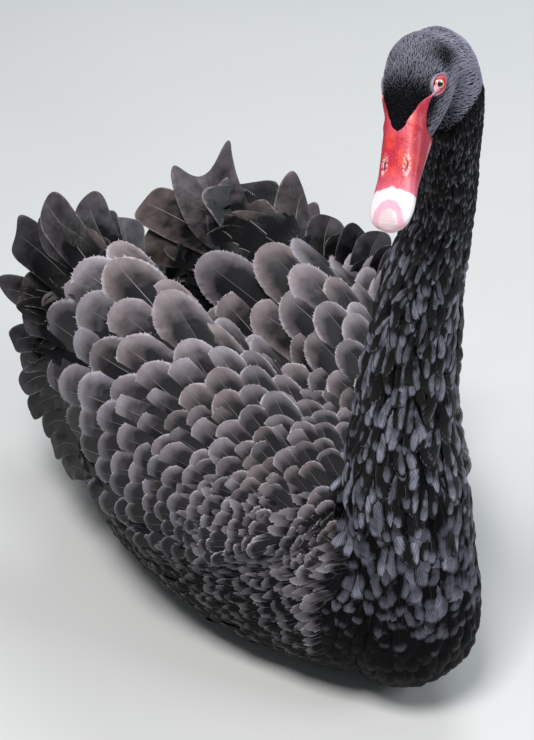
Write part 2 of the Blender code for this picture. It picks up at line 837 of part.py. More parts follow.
def plume(side, y, degrees, tip, width, turn):
    """A curled feather: it leaves the wing along the surface and bends up to its tip."""
    normal = wing_normal(side, y, degrees)
    root = wing_point(side, y, degrees) - normal * VANE_SINK
    tip = Vector((side * tip.x, tip.y, tip.z))
    back = wing_point(side, y + NORMAL_STEPS[0], degrees) - wing_point(side, y, degrees)
    reach = (tip - root).length
    bend = root + back.normalized() * reach * PLUME_BEND + normal * PLUME_LIFT
    path, normals = [], []
    for t in spread(PLUME_RINGS):
        place = root * (1 - t) ** 2 + bend * 2 * t * (1 - t) + tip * t**2
        path.append(place)
        twist = Matrix.Rotation(-side * math.radians(turn) * t, 3, tip - root)
        normals.append(twist @ normal)
    return vane("plume", path, normals, width, PLUME_CUP)


def wing_feathers(side, draw, plumes):
    """The tiers of feathers over one wing, and the curled ones at its rear."""
    vanes = []
    for row, (y, length, width, height, curl, rings) in enumerate(WING_TIERS):
        half, low, inset = (value_at(WING_STATIONS, y, c) for c in (1, 3, 4))
        top = crest_degrees(half, inset + TOP_INSET * width)
        low -= LOW_INSET
        pitch = math.degrees(VANE_OVERLAP * width / WING_REACH)
        count = round((low - top) / pitch)
        stagger = ROW_STAGGER * (row % 2)
        for k in range(count):
            share = (k + stagger) / (count - 1 + ROW_STAGGER)
            degrees = top + (low - top) * share
            vanes.append(
                wing_vane(
                    side,
                    y + draw.uniform(-ROOT_SCATTER, ROOT_SCATTER),
                    degrees,
                    length * draw.uniform(*SIZE_SCATTER),
                    width * draw.uniform(*SIZE_SCATTER),
                    height * draw.uniform(*HEIGHT_SCATTER),
                    curl * draw.uniform(*CURL_SCATTER),
                    rings,
                    draw.uniform(-TURN_SCATTER, TURN_SCATTER),
                )
            )
    for y, degrees, tip_x, tip_y, tip_z, width, turn in plumes:
        tip = Vector((tip_x, tip_y, tip_z))
        vanes.append(plume(side, y, degrees, tip, width, turn))
    return vanes


def box(name, low, high):
    mesh = bpy.data.meshes.new(name)
    bm = bmesh.new()
    bmesh.ops.create_cube(bm, size=1.0)
    for v in bm.verts:
        v.co = Vector(low[k] + (high[k] - low[k]) * (v.co[k] + 0.5) for k in range(3))
    bm.to_mesh(mesh)
    bm.free()
    return linked(name, mesh)


def make_wings():
    for name, side, plumes in (
        ("wing_left", 1, LEFT_PLUMES),
        ("wing_right", -1, RIGHT_PLUMES),
    ):
        draw = random.Random(WING_SEED + side)
        core = wing_core(name, side, WING_SHELL_END)
        feathers = wing_feathers(side, draw, plumes)
        middle = sorted((-BIRD_BOX * side, MIDLINE_GAP * side))
        cutters = [
            torso_shell("torso_room", CUT_ALLOWANCE),
            column_length("column_room", 0.0, COLUMN_HEAD, grow=CUT_ALLOWANCE),
            box("other_side", (middle[0], -BIRD_BOX, 0.0), (middle[1], BIRD_BOX, BIRD_BOX)),
        ]
        wing = fuse(name, [core, *feathers], cutters)
        remove(cutters)
        finish(wing, GREY_BROWN, 0.8)


def make_tail():
    """The tail: flat feathers spread in a fan, each over its neighbour."""
    stub = ball("tail", Vector(), 1.0, 16, 10)
    stub.data.transform(Matrix.Translation(TAIL_ROOT) @ Matrix.Diagonal(TAIL_STUB))
    vanes = []
    for k in range(TAIL_VANES):
        across = 2 * k / (TAIL_VANES - 1) - 1
        turn = TAIL_SPREAD * across
        away = Vector((math.sin(turn), math.cos(turn), TAIL_RISE))
        rank = abs(across) * (TAIL_VANES - 1) / 2
        start = TAIL_ROOT + Vector((TAIL_ROOT_HALF * across, 0, -rank * TAIL_STEP))
        length = TAIL_LENGTH * (1 - TAIL_ROUNDING * across**2)
        path = [start + away * length * t for t in spread(TAIL_RINGS)]
        roll = Vector((TAIL_ROLL * across, 0, 1)).normalized()
        vanes.append(vane("vane", path, [roll] * TAIL_RINGS, TAIL_VANE_WIDTH, 0.0))
    room = torso_shell("torso_room", CUT_ALLOWANCE)
    tail = fuse("tail", [stub, *vanes], [room])
    remove([room])
    finish(tail, BLACK, 0.8)


def foot(side):
    """A webbed foot, flat on the floor."""
    rings = []
    for t in spread(FOOT_RINGS):
        ring = []
        for k in range(FOOT_SIDES):
            x, up = superellipse(
                math.tau * k / FOOT_SIDES,
                value_at(FOOT_STATIONS, t),
                FOOT_THICKNESS / 2,
                0.0,
                FOOT_THICKNESS,
                FOOT_FULLNESS,
            )
            ring.append(Vector((side * LEG_X + x, LEG_TOE_Y + FOOT_LENGTH * t, up)))
        rings.append(ring)
    return lofted("foot", rings)


def shank(side):
    """The scaled part of a leg, from the heel up into the rump."""
    heel = Vector((side * LEG_X, LEG_TOE_Y + HEEL_SHARE * FOOT_LENGTH, SHANK_RADIUS))
    top = heel + Vector((side * LEG_SHANK_TOP.x, LEG_SHANK_TOP.y, LEG_SHANK_TOP.z))
    along = (top - heel).normalized()
    across = Vector((1, 0, 0))
    front = along.cross(across).normalized()
    rings = []
    for t in spread(SHANK_RINGS):
        ring = []
        for k in range(SHANK_SIDES):
            a = math.tau * k / SHANK_SIDES
            spoke = across * math.cos(a) + front * math.sin(a)
            point = heel.lerp(top, t) + spoke * SHANK_RADIUS
            point.z = max(point.z, SHANK_FOOT)
            ring.append(point)
        rings.append(ring)
    return lofted("shank", rings)


def make_legs():
    """Webbed feet folded flat on the floor under the rump, with their shanks."""
    for name, side in (("leg_left", 1), ("leg_right", -1)):
        room = torso_shell("torso_room", CUT_ALLOWANCE)
        leg = fuse(name, [foot(side), shank(side)], [room])
        remove([room])
        finish(leg, LEG_GREY, 0.6)


def main():
    remove(bpy.data.objects)
    make_torso()
    make_neck()
    make_head()
    make_eyes()
    make_bill()
    make_wings()
    make_tail()
    make_legs()


main()
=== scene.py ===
"""The looks of a life-size black swan at rest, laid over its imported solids.

One skin stands for the flesh, and every feather is a thin closed vane that lies on that
skin and follows it. The bird faces -Y and its left side is +X.
"""

import logging
import random
from bisect import bisect_right
from collections.abc import Callable
from dataclasses import dataclass, field
from enum import Enum
from math import acos, asin, atan2, copysign, cos, exp, hypot, pi, radians, sin, sqrt, tau
from math import degrees as in_degrees

import bmesh
import bpy
import numpy as np
from mathutils import Matrix, Vector
from mathutils.bvhtree import BVHTree


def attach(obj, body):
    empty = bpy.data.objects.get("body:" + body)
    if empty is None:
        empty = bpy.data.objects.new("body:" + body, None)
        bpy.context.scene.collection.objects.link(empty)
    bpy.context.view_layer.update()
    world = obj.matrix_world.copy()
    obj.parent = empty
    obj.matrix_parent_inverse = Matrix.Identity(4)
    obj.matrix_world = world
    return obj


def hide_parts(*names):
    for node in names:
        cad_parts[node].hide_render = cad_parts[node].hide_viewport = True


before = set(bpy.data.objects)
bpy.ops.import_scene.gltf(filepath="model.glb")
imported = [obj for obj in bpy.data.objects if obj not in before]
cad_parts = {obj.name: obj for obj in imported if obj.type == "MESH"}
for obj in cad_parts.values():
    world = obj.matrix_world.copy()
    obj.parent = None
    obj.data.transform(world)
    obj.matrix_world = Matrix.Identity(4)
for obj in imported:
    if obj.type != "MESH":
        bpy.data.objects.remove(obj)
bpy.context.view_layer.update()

LOG = logging.getLogger("black_swan")
BODY = "root"
FLESH = ("torso", "neck_lower", "neck_upper", "head", "wing_left", "wing_right", "tail")
FLOOR_CLEARANCE = 0.0004

Row = tuple[float, ...]
Pair = tuple[float, float]
Colour = tuple[float, float, float]
Line = list[Vector]
Piece = bpy.types.Object
Material = bpy.types.Material
BLACK: Colour = (0.0, 0.0, 0.0)


class Slot(Enum):
    """The material slots."""

    WING = "wing_feathers"
    DARK = "dark_feathers"
    BILL = "bill"
    EYE = "eye"
    LEG = "leg_skin"


class Region(Enum):
    """The part of the body that a place on the skin belongs to."""

    TORSO = "torso"
    COLUMN = "column"
    HEAD = "head"
    WING = "wing"
    HOLLOW = "hollow"


# Numbers and curves


class Profile:
    """Smooth values between stations, without overshoot (monotone cubic)."""

    def __init__(self, *rows: Row) -> None:
        """Keeps the stations and works out the slopes at each.

        Args:
            rows: Stations as (x, value, value, ...), with x rising.
        """
        self.x = [row[0] for row in rows]
        self.columns = [[row[c] for row in rows] for c in range(1, len(rows[0]))]
        self.tangents = [self._tangents(values) for values in self.columns]

    def _tangents(self, values: list[float]) -> list[float]:
        """Slopes at the stations, level where the values turn."""
        pairs = zip(values, values[1:], self.x, self.x[1:])
        slopes = [(b - a) / (q - p) for a, b, p, q in pairs]
        inner = [2 * a * b / (a + b) if a * b > 0 else 0.0 for a, b in zip(slopes, slopes[1:])]
        return [slopes[0], *inner, slopes[-1]]

    def at(self, x: float, column: int = 0) -> float:
        """The value at x.

        Args:
            x: Where to read.
            column: Which value of the row, counted from 0.

        Returns:
            The value, held level past both ends.
        """
        values = self.columns[column]
        if x <= self.x[0]:
            return values[0]
        if x >= self.x[-1]:
            return values[-1]
        i = bisect_right(self.x, x) - 1
        h = self.x[i + 1] - self.x[i]
        t = (x - self.x[i]) / h
        low, high = values[i], values[i + 1]
        slopes = self.tangents[column]
        return (
            (2 * t**3 - 3 * t**2 + 1) * low
            + (t**3 - 2 * t**2 + t) * h * slopes[i]
            + (3 * t**2 - 2 * t**3) * high
            + (t**3 - t**2) * h * slopes[i + 1]
        )

    def row(self, x: float) -> list[float]:
        """All the values at x."""
        return [self.at(x, c) for c in range(len(self.columns))]


def clamp(value: float) -> float:
    """The value, held between 0 and 1."""
    return min(1.0, max(0.0, value))


def ease(low: float, high: float, value: float) -> float:
    """A soft step from 0 at low to 1 at high, which may be the smaller of the two."""
    t = clamp((value - low) / (high - low))
    return t * t * (3 - 2 * t)


def plateau(edges: Row, value: float) -> float:
    """0 outside the outer edges, 1 between the inner ones."""
    return ease(edges[0], edges[1], value) * (1 - ease(edges[2], edges[3], value))


def power(value: float, exponent: float) -> float:
    """A power that keeps the sign of its base."""
    return copysign(abs(value) ** exponent, value)


def superellipse(angle: float, width: float, level: float, low: float, high: float, fullness: float) -> Pair:
    """A point of an egg-shaped section.

    Args:
        angle: Where on the section, 0 at the top.
        width: Half width, at the widest level.
        level: Height of the widest level.
        low: Height of the underside.
        high: Height of the top.
        fullness: 2 for an ellipse, more for a squarer section.

    Returns:
        Its distance sideways and its height.
    """
    side, up = power(sin(angle), 2 / fullness), power(cos(angle), 2 / fullness)
    return width * side, level + up * ((high - level) if up > 0 else (level - low))


def spread(count: int, low: float = 0.0, high: float = 1.0) -> list[float]:
    """Evenly spaced values from low to high."""
    return [low + (high - low) * k / (count - 1) for k in range(count)]


def blend(s: float) -> tuple:
    """Weights of four points in a row for a smooth curve, at share s between the middle two."""
    return (
        -0.5 * s + s**2 - 0.5 * s**3,
        1 - 2.5 * s**2 + 1.5 * s**3,
        0.5 * s + 2 * s**2 - 1.5 * s**3,
        -0.5 * s**2 + 0.5 * s**3,
    )


def fixed(x: float, y: float, z: float) -> Vector:
    """A dataclass field that holds a place or a direction."""
    return field(default_factory=lambda: Vector((x, y, z)))


# Forms of the body


@dataclass
class TorsoForm:
    """The torso without its wings: breast, back, belly and rump."""

    # y, half width, height of the widest level, underside, back
    stations: Profile = Profile(
        (-0.228, 0.0, 0.096, 0.096, 0.096), (-0.22, 0.038, 0.096, 0.056, 0.126),
        (-0.199, 0.066, 0.097, 0.03, 0.155), (-0.17, 0.086, 0.1, 0.014, 0.178),
        (-0.135, 0.104, 0.104, 0.002, 0.187), (-0.09, 0.125, 0.108, -0.008, 0.195),
        (-0.03, 0.142, 0.11, -0.012, 0.199), (0.04, 0.147, 0.112, -0.012, 0.199),
        (0.11, 0.139, 0.116, -0.006, 0.197), (0.17, 0.116, 0.122, 0.016, 0.193),
        (0.22, 0.084, 0.13, 0.052, 0.187), (0.262, 0.046, 0.138, 0.096, 0.176),
        (0.285, 0.0, 0.142, 0.142, 0.142),
    )
    fullness: float = 2.3
    end_width: float = 0.03
    rings: int = 34
    sides: int = 48

    def point(self, y: float, angle: float, grow: float = 0.0) -> Vector:
        """A point on the surface.

        Args:
            y: How far back it is.
            angle: Where round the body, 0 on the back and positive towards +X.
            grow: How far it is pushed out.
        """
        width, level, low, high = self.stations.row(y)
        grow *= min(1.0, width / self.end_width)
        x, z = superellipse(angle, width + grow, level, low - grow, high + grow, self.fullness)
        return Vector((x, y, max(z, -grow)))

    def outline(self, grow: float) -> list[Line]:
        """Rings from breast to rump, pushed out by grow."""
        front, back = self.stations.x[0], self.stations.x[-1]
        middle, half = 0.5 * (front + back), 0.5 * (back - front)
        rings = []
        for t in spread(self.rings):
            y = middle - half * cos(pi * t)
            ring = [self.point(y, tau * k / self.sides, grow) for k in range(self.sides)]
            for point in ring:
                point.y += grow * (point.y - middle) / half
            rings.append(ring)
        return rings


@dataclass
class ColumnForm:
    """Neck and front of the breast, as one tapering column up to the nape."""

    midline: float = 0.006
    # x from the midline, y, z, radius, from the base up to the nape
    stations: tuple[Row, ...] = (
        (0.0, -0.1, 0.046, 0.036), (0.0, -0.14, 0.047, 0.044), (0.0, -0.172, 0.056, 0.054),
        (0.0, -0.189, 0.077, 0.061), (0.0, -0.193, 0.102, 0.0573), (0.0, -0.19, 0.135, 0.0535),
        (0.0, -0.186, 0.169, 0.05), (0.0, -0.18, 0.205, 0.0475), (0.0, -0.177, 0.235, 0.043),
        (0.0, -0.177, 0.283, 0.038), (0.0, -0.182, 0.333, 0.0335), (0.0, -0.188, 0.381, 0.03),
        (0.0, -0.196, 0.416, 0.0277), (0.0, -0.204, 0.443, 0.0252), (0.0, -0.2125, 0.47, 0.022),
        (0.0, -0.2165, 0.509, 0.0203), (-0.0005, -0.217, 0.535, 0.0212), (-0.003, -0.2145, 0.56, 0.0226),
        (-0.013, -0.2145, 0.579, 0.0238), (-0.027, -0.22, 0.585, 0.0236), (-0.04, -0.228, 0.577, 0.0195),
    )
    sides: int = 40
    step: float = 0.05

    def place(self, t: float) -> tuple[Vector, float]:
        """Centre and radius at station t, on a smooth curve.

        Args:
            t: The station, with its share of the way to the next.

        Returns:
            The centre and the radius.
        """
        last = len(self.stations) - 1
        i = min(int(t), last - 1)
        s = t - i
        picks = [self.stations[min(max(i + k, 0), last)] for k in (-1, 0, 1, 2)]
        mixed = [sum(w * p[c] for w, p in zip(blend(s), picks)) for c in range(4)]
        return Vector((mixed[0] + self.midline, mixed[1], mixed[2])), mixed[3]

    def axes(self, t: float) -> tuple[Vector, Vector, Vector]:
        """Directions at station t: up along the column, left and front."""
        last = len(self.stations) - 1.0
        ahead, _ = self.place(min(t + self.step, last))
        behind, _ = self.place(max(t - self.step, 0.0))
        along = (ahead - behind).normalized() if t >= 1.0 else Vector((0, 0, 1))
        left = Vector((1, 0, 0))
        left = (left - along * left.dot(along)).normalized()
        return along, left, along.cross(left)

    def point(self, t: float, angle: float, grow: float = 0.0) -> Vector:
        """A point on the column; angle 0 is its left side, 90 degrees its rear."""
        centre, radius = self.place(t)
        _, left, front = self.axes(t)
        return centre + (left * cos(angle) + front * sin(angle)) * (radius + grow)

    def ring(self, t: float, grow: float) -> Line:
        """The points round the column at station t."""
        return [self.point(t, tau * k / self.sides, grow) for k in range(self.sides)]

    def down(self, t: float) -> Vector:
        """The way that feathers lie at station t."""
        return -self.axes(t)[0]

    def nearest(self, point: Vector) -> float:
        """The station whose centre is nearest to a point, from the breast up."""
        stations = spread(61, 1.0, len(self.stations) - 1.0)
        return min(stations, key=lambda t: (self.place(t)[0] - point).length_squared)


@dataclass
class HeadForm:
    """The skull in its own axes: forward along the bill, left, and up."""

    centre: Vector = fixed(-0.0378, -0.2315, 0.5752)
    aim: Vector = fixed(-0.655, -0.542, -0.527)
    roll: float = radians(18.0)
    # forward, half width, top, underside
    stations: Profile = Profile(
        (-0.041, 0.0, -0.002, -0.002), (-0.0385, 0.0105, 0.011, -0.0125),
        (-0.029, 0.019, 0.0215, -0.02), (-0.014, 0.023, 0.0265, -0.025),
        (0.0, 0.0222, 0.0262, -0.0262), (0.013, 0.0195, 0.022, -0.0252),
        (0.025, 0.0165, 0.0155, -0.022), (0.034, 0.015, 0.0105, -0.0188),
    )
    fullness: float = 2.1
    jaw_height: float = -0.0425
    jaw_fall: float = 0.4
    jaw_corner: float = 0.018
    rings: int = 30
    sides: int = 48

    def __post_init__(self) -> None:
        """Prepares the head's axes."""
        self.forward = self.aim.normalized()
        left = Vector((0, 0, 1)).cross(self.forward).normalized()
        turn = Matrix.Rotation(self.roll, 3, self.forward)
        self.left = turn @ left
        self.up = turn @ self.forward.cross(left).normalized()

    def place(self, forward: float, left: float, up: float) -> Vector:
        """A point given in the head's axes."""
        return self.centre + self.forward * forward + self.left * left + self.up * up

    def local(self, point: Vector) -> Vector:
        """A point in the head's axes: forward, left, up."""
        offset = point - self.centre
        return Vector((offset.dot(self.forward), offset.dot(self.left), offset.dot(self.up)))

    def section(self, rows: Profile, f: float, angle: float, fullness: float, grow: float = 0.0) -> Vector:
        """A point of a body whose stations are in the head's axes.

        Args:
            rows: Its stations: forward, half width, top, underside.
            f: How far forward the point is.
            angle: Where round the body, 0 at the top.
            fullness: How square its sections are.
            grow: How far it is pushed out.
        """
        width, top, low = rows.row(f)
        y, z = superellipse(angle, width + grow, 0.5 * (top + low), low - grow, top + grow, fullness)
        return self.place(f, y, z)

    def outline(self, grow: float) -> list[Line]:
        """Rings from the back of the skull to the bill, pushed out by grow."""
        back, front = self.stations.x[0] - grow, self.stations.x[-1]
        rings = []
        for t in spread(self.rings):
            f = back + (front - back) * (1 - cos(pi * t / 2)) ** 0.8
            ring = []
            for k in range(self.sides):
                angle = tau * k / self.sides
                ring.append(self.section(self.stations, f, angle, self.fullness, grow))
            rings.append(ring)
        return rings

    def jaw(self, left: float) -> float:
        """Height in the head's axes where its velvet ends and the neck's feathers begin."""
        return self.jaw_height - self.jaw_fall * max(0.0, self.jaw_corner - abs(left))

    def side(self, f: float, up: float) -> float:
        """How far the side of the skull stands from its middle."""
        width, top, low = self.stations.row(f)
        share = min(1.0, abs(2 * up - top - low) / (top - low))
        return width * (1 - share**self.fullness) ** (1 / self.fullness)


@dataclass
class WingForm:
    """One folded wing's outer surface; 0 degrees is the midline, 90 the widest."""

    side: int
    torso: TorsoForm
    # y, half width, height of the crest, angle of the lower edge, inner edge from the midline
    stations: Profile = Profile(
        (-0.152, 0.1, 0.19, 58.0, 0.002), (-0.132, 0.112, 0.2, 76.0, 0.002),
        (-0.095, 0.131, 0.217, 90.0, 0.002), (-0.05, 0.146, 0.233, 95.0, 0.002),
        (0.0, 0.1545, 0.25, 97.0, 0.002), (0.06, 0.1525, 0.264, 95.0, 0.002),
        (0.12, 0.1405, 0.27, 86.0, 0.009), (0.18, 0.1315, 0.271, 80.0, 0.03),
        (0.235, 0.1225, 0.279, 78.0, 0.048), (0.3, 0.112, 0.3, 80.0, 0.06),
    )
    level: float = 0.12
    depth: float = 0.1
    fullness: float = 2.7
    back_height: float = 0.211
    valley: float = 0.04
    wall: float = 0.013
    root: float = 0.01
    leaves_body: Pair = (0.1, 0.19)
    shell_end: float = 0.192
    reach: float = 0.145
    # steps that the way of the surface is read over, in metres and degrees
    feel: Pair = (0.004, 2.0)
    long: int = 26
    across: int = 30

    def point(self, y: float, degrees: float, out: float = 0.0) -> Vector:
        """A point on the outer surface, pushed out along its spoke.

        Args:
            y: How far back it is.
            degrees: Its place across the wing.
            out: How far it is pushed out.
        """
        at = min(max(y, self.stations.x[0]), self.stations.x[-1])
        width, crest = self.stations.at(at), self.stations.at(at, 1)
        low = self.level - self.depth
        x, z = superellipse(radians(degrees), width, self.level, low, crest, self.fullness)
        z -= (crest - self.back_height) * exp(-((x / self.valley) ** 2))
        spoke = Vector((x, 0.0, z - self.level)).normalized() * out
        return Vector((self.side * (x + spoke.x), y, z + spoke.z))

    def inside(self, y: float, degrees: float) -> Vector:
        """The inner face: sunk in the body in front, a free wall at the rear."""
        outer = self.point(y, degrees, -self.wall)
        body_y = min(y, self.torso.stations.x[-2])
        sunk = self.torso.point(body_y, radians(degrees), -self.root)
        sunk = Vector((self.side * sunk.x, y, sunk.z))
        return sunk.lerp(outer, ease(*self.leaves_body, y))

    def crest_degrees(self, y: float, distance: float) -> float:
        """The angle across the wing at a distance from the midline."""
        share = min(1.0, max(0.0, distance) / self.stations.at(y))
        return in_degrees(asin(share ** (self.fullness / 2)))

    def faces(self, out: float) -> tuple[list[Line], list[Line]]:
        """Rows of points over the outer face and over the inner face.

        Args:
            out: How far the outer face is pushed out.

        Returns:
            The rows of both faces, from front to rear.
        """
        outer, inner = [], []
        for y in spread(self.long, self.stations.x[0], self.shell_end):
            top = self.crest_degrees(y, self.stations.at(y, 3))
            angles = spread(self.across, top, self.stations.at(y, 2))
            outer.append([self.point(y, degrees, out) for degrees in angles])
            inner.append([self.inside(y, degrees) for degrees in angles])
        return outer, inner

    def normal(self, y: float, degrees: float) -> Vector:
        """The outward direction on the surface."""
        step, turn = self.feel
        along = self.point(y + step, degrees) - self.point(y - step, degrees)
        across = self.point(y, degrees + turn) - self.point(y, degrees - turn)
        return (across.cross(along) * self.side).normalized()


# Mesh helpers


def linked(name: str, data: bpy.types.ID) -> Piece:
    """A new object in the scene, for a mesh, a lamp or a camera."""
    obj = bpy.data.objects.new(name, data)
    bpy.context.scene.collection.objects.link(obj)
    return obj


def loft(bm: bmesh.types.BMesh, rings: list[Line], caps: bool = True) -> None:
    """Adds a tube through rings of equal count, closed at both ends.

    Args:
        bm: The mesh to add to.
        rings: Points of each ring, in order round it.
        caps: Whether the two ends are closed.
    """
    sides = len(rings[0])
    made = bmesh.ops.create_circle(bm, cap_ends=False, segments=sides, radius=1.0)
    ring = made["verts"]
    edges = list({edge for vert in ring for edge in vert.link_edges})
    first = edges
    for vert, point in zip(ring, rings[0]):
        vert.co = point
    for points in rings[1:]:
        made = bmesh.ops.extrude_edge_only(bm, edges=edges)["geom"]
        fresh = {g for g in made if isinstance(g, bmesh.types.BMVert)}
        edges = [g for g in made if isinstance(g, bmesh.types.BMEdge) and set(g.verts) <= fresh]
        following = []
        for vert in ring:
            ends = (edge.other_vert(vert) for edge in vert.link_edges)
            following.append(next(end for end in ends if end in fresh))
        ring = following
        for vert, point in zip(ring, points):
            vert.co = point
    if caps:
        for loop in (first, edges):
            face = bmesh.ops.contextual_create(bm, geom=loop)["faces"]
            bmesh.ops.poke(bm, faces=face)


def finished(bm: bmesh.types.BMesh, name: str, sharp: float = 60.0) -> Piece:
    """Merges doubles, turns the faces out and makes a smooth-shaded object.

    Args:
        bm: The mesh, which is freed.
        name: The object's name.
        sharp: Degrees past which an edge stays sharp.

    Returns:
        The new object, in place.
    """
    bmesh.ops.remove_doubles(bm, verts=bm.verts, dist=1e-6)
    bmesh.ops.dissolve_degenerate(bm, edges=bm.edges, dist=1e-7)
    bmesh.ops.recalc_face_normals(bm, faces=bm.faces)
    mesh = bpy.data.meshes.new(name)
    bm.to_mesh(mesh)
    bm.free()
    mesh.shade_smooth()
    mesh.set_sharp_from_angle(angle=radians(sharp))
    return linked(name, mesh)


def evaluated(obj: Piece) -> bpy.types.Mesh:
    """The object's mesh with its modifiers applied."""
    graph = bpy.context.evaluated_depsgraph_get()
    return bpy.data.meshes.new_from_object(obj.evaluated_get(graph))


def grid_tree(rows: list[Line]) -> BVHTree:
    """A search tree over a grid of points."""
    columns = len(rows[0])
    verts = [point for row in rows for point in row]
    quads = []
    for i in range(len(rows) - 1):
        for j in range(columns - 1):
            a = i * columns + j
            quads.append((a, a + 1, a + columns + 1, a + columns))
    return BVHTree.FromPolygons(verts, quads)


# Materials


class Term:
    """One output of a node, which takes part in sums, products and steps."""

    def __init__(self, nodes: "Nodes", socket: bpy.types.NodeSocket) -> None:
        """Keeps the output and the tree that it belongs to."""
        self.nodes, self.socket = nodes, socket

    def math(self, operation: str, other: object = 0.0) -> "Term":
        """The outcome of an operation on this number and another."""
        return self.nodes.add("ShaderNodeMath", {0: self, 1: other}, operation=operation)

    def __add__(self, other: object) -> "Term":
        """A sum."""
        return self.math("ADD", other)

    def __sub__(self, other: object) -> "Term":
        """A difference."""
        return self.math("SUBTRACT", other)

    def __mul__(self, other: object) -> "Term":
        """A product."""
        return self.math("MULTIPLY", other)

    def __truediv__(self, other: object) -> "Term":
        """A quotient."""
        return self.math("DIVIDE", other)

    def __abs__(self) -> "Term":
        """The number without its sign."""
        return self.math("ABSOLUTE")

    def clamped(self) -> "Term":
        """The same number, held between 0 and 1."""
        self.socket.node.use_clamp = True
        return self

    def step(self, low: float, high: float) -> "Term":
        """A soft step from 0 at low to 1 at high, or falling where low is above high."""
        ends = (low, high, 0.0, 1.0) if low < high else (high, low, 1.0, 0.0)
        inputs = {0: self, **dict(enumerate(ends, 1))}
        return self.nodes.add("ShaderNodeMapRange", inputs, interpolation_type="SMOOTHSTEP")

    def beside(self, name: str) -> "Term":
        """Another output of the same node."""
        return Term(self.nodes, self.socket.node.outputs[name])

    def split(self, kind: str) -> list["Term"]:
        """The three numbers that make up a colour or a place."""
        outputs = self.nodes.add(kind, {0: self}).socket.node.outputs
        return [Term(self.nodes, output) for output in outputs]


class Nodes:
    """A material's node tree, with short ways to add to it."""

    def __init__(self, name: str) -> None:
        """Makes the material with one Principled shader."""
        self.material = bpy.data.materials.new(name)
        self.material.use_nodes = True
        self.tree = self.material.node_tree
        self.shader = self.tree.nodes["Principled BSDF"]

    def add(self, kind: str, inputs: dict | None = None, out: int | str = 0, **settings: object) -> Term:
        """Adds a node.

        Args:
            kind: Blender's name for it.
            inputs: What goes into its inputs, by name or number.
            out: The output that is wanted.
            settings: Its other settings.

        Returns:
            The wanted output.
        """
        node = self.tree.nodes.new(kind)
        for name, value in settings.items():
            setattr(node, name, value)
        for key, value in (inputs or {}).items():
            self.put(node.inputs[key], value)
        return Term(self, node.outputs[out])

    def put(self, socket: bpy.types.NodeSocket, value: object) -> None:
        """Links a term to a socket, or sets the socket's own value."""
        if isinstance(value, Term):
            self.tree.links.new(value.socket, socket)
        else:
            socket.default_value = (*value, 1.0) if socket.type == "RGBA" else value

    def set(self, **values: object) -> None:
        """Sets or links the shader's inputs, named with _ for a space."""
        for name, value in values.items():
            self.put(self.shader.inputs[name.replace("_", " ")], value)

    def mix(self, share: object, a: object, b: object, blend: str = "MIX") -> Term:
        """A mix of two colours."""
        return self.add("ShaderNodeMix", {0: share, 6: a, 7: b}, 2, data_type="RGBA", blend_type=blend)

    def vector(self, operation: str, out: str, a: Term, b: Vector = Vector()) -> Term:
        """An operation on two vectors."""
        return self.add("ShaderNodeVectorMath", {0: a, 1: tuple(b)}, out, operation=operation)

    def noise(self, where: Term, scale: float, detail: float = 3.0) -> Term:
        """Soft noise from 0 to 1."""
        return self.add("ShaderNodeTexNoise", {"Vector": where, "Scale": scale, "Detail": detail})

    def bump(self, height: Term, distance: float) -> Term:
        """A bumped normal from a height."""
        return self.add("ShaderNodeBump", {"Height": height, "Distance": distance, "Strength": 1.0})

    def place(self) -> Term:
        """Object coordinates, in metres."""
        return self.add("ShaderNodeTexCoord", out="Object")


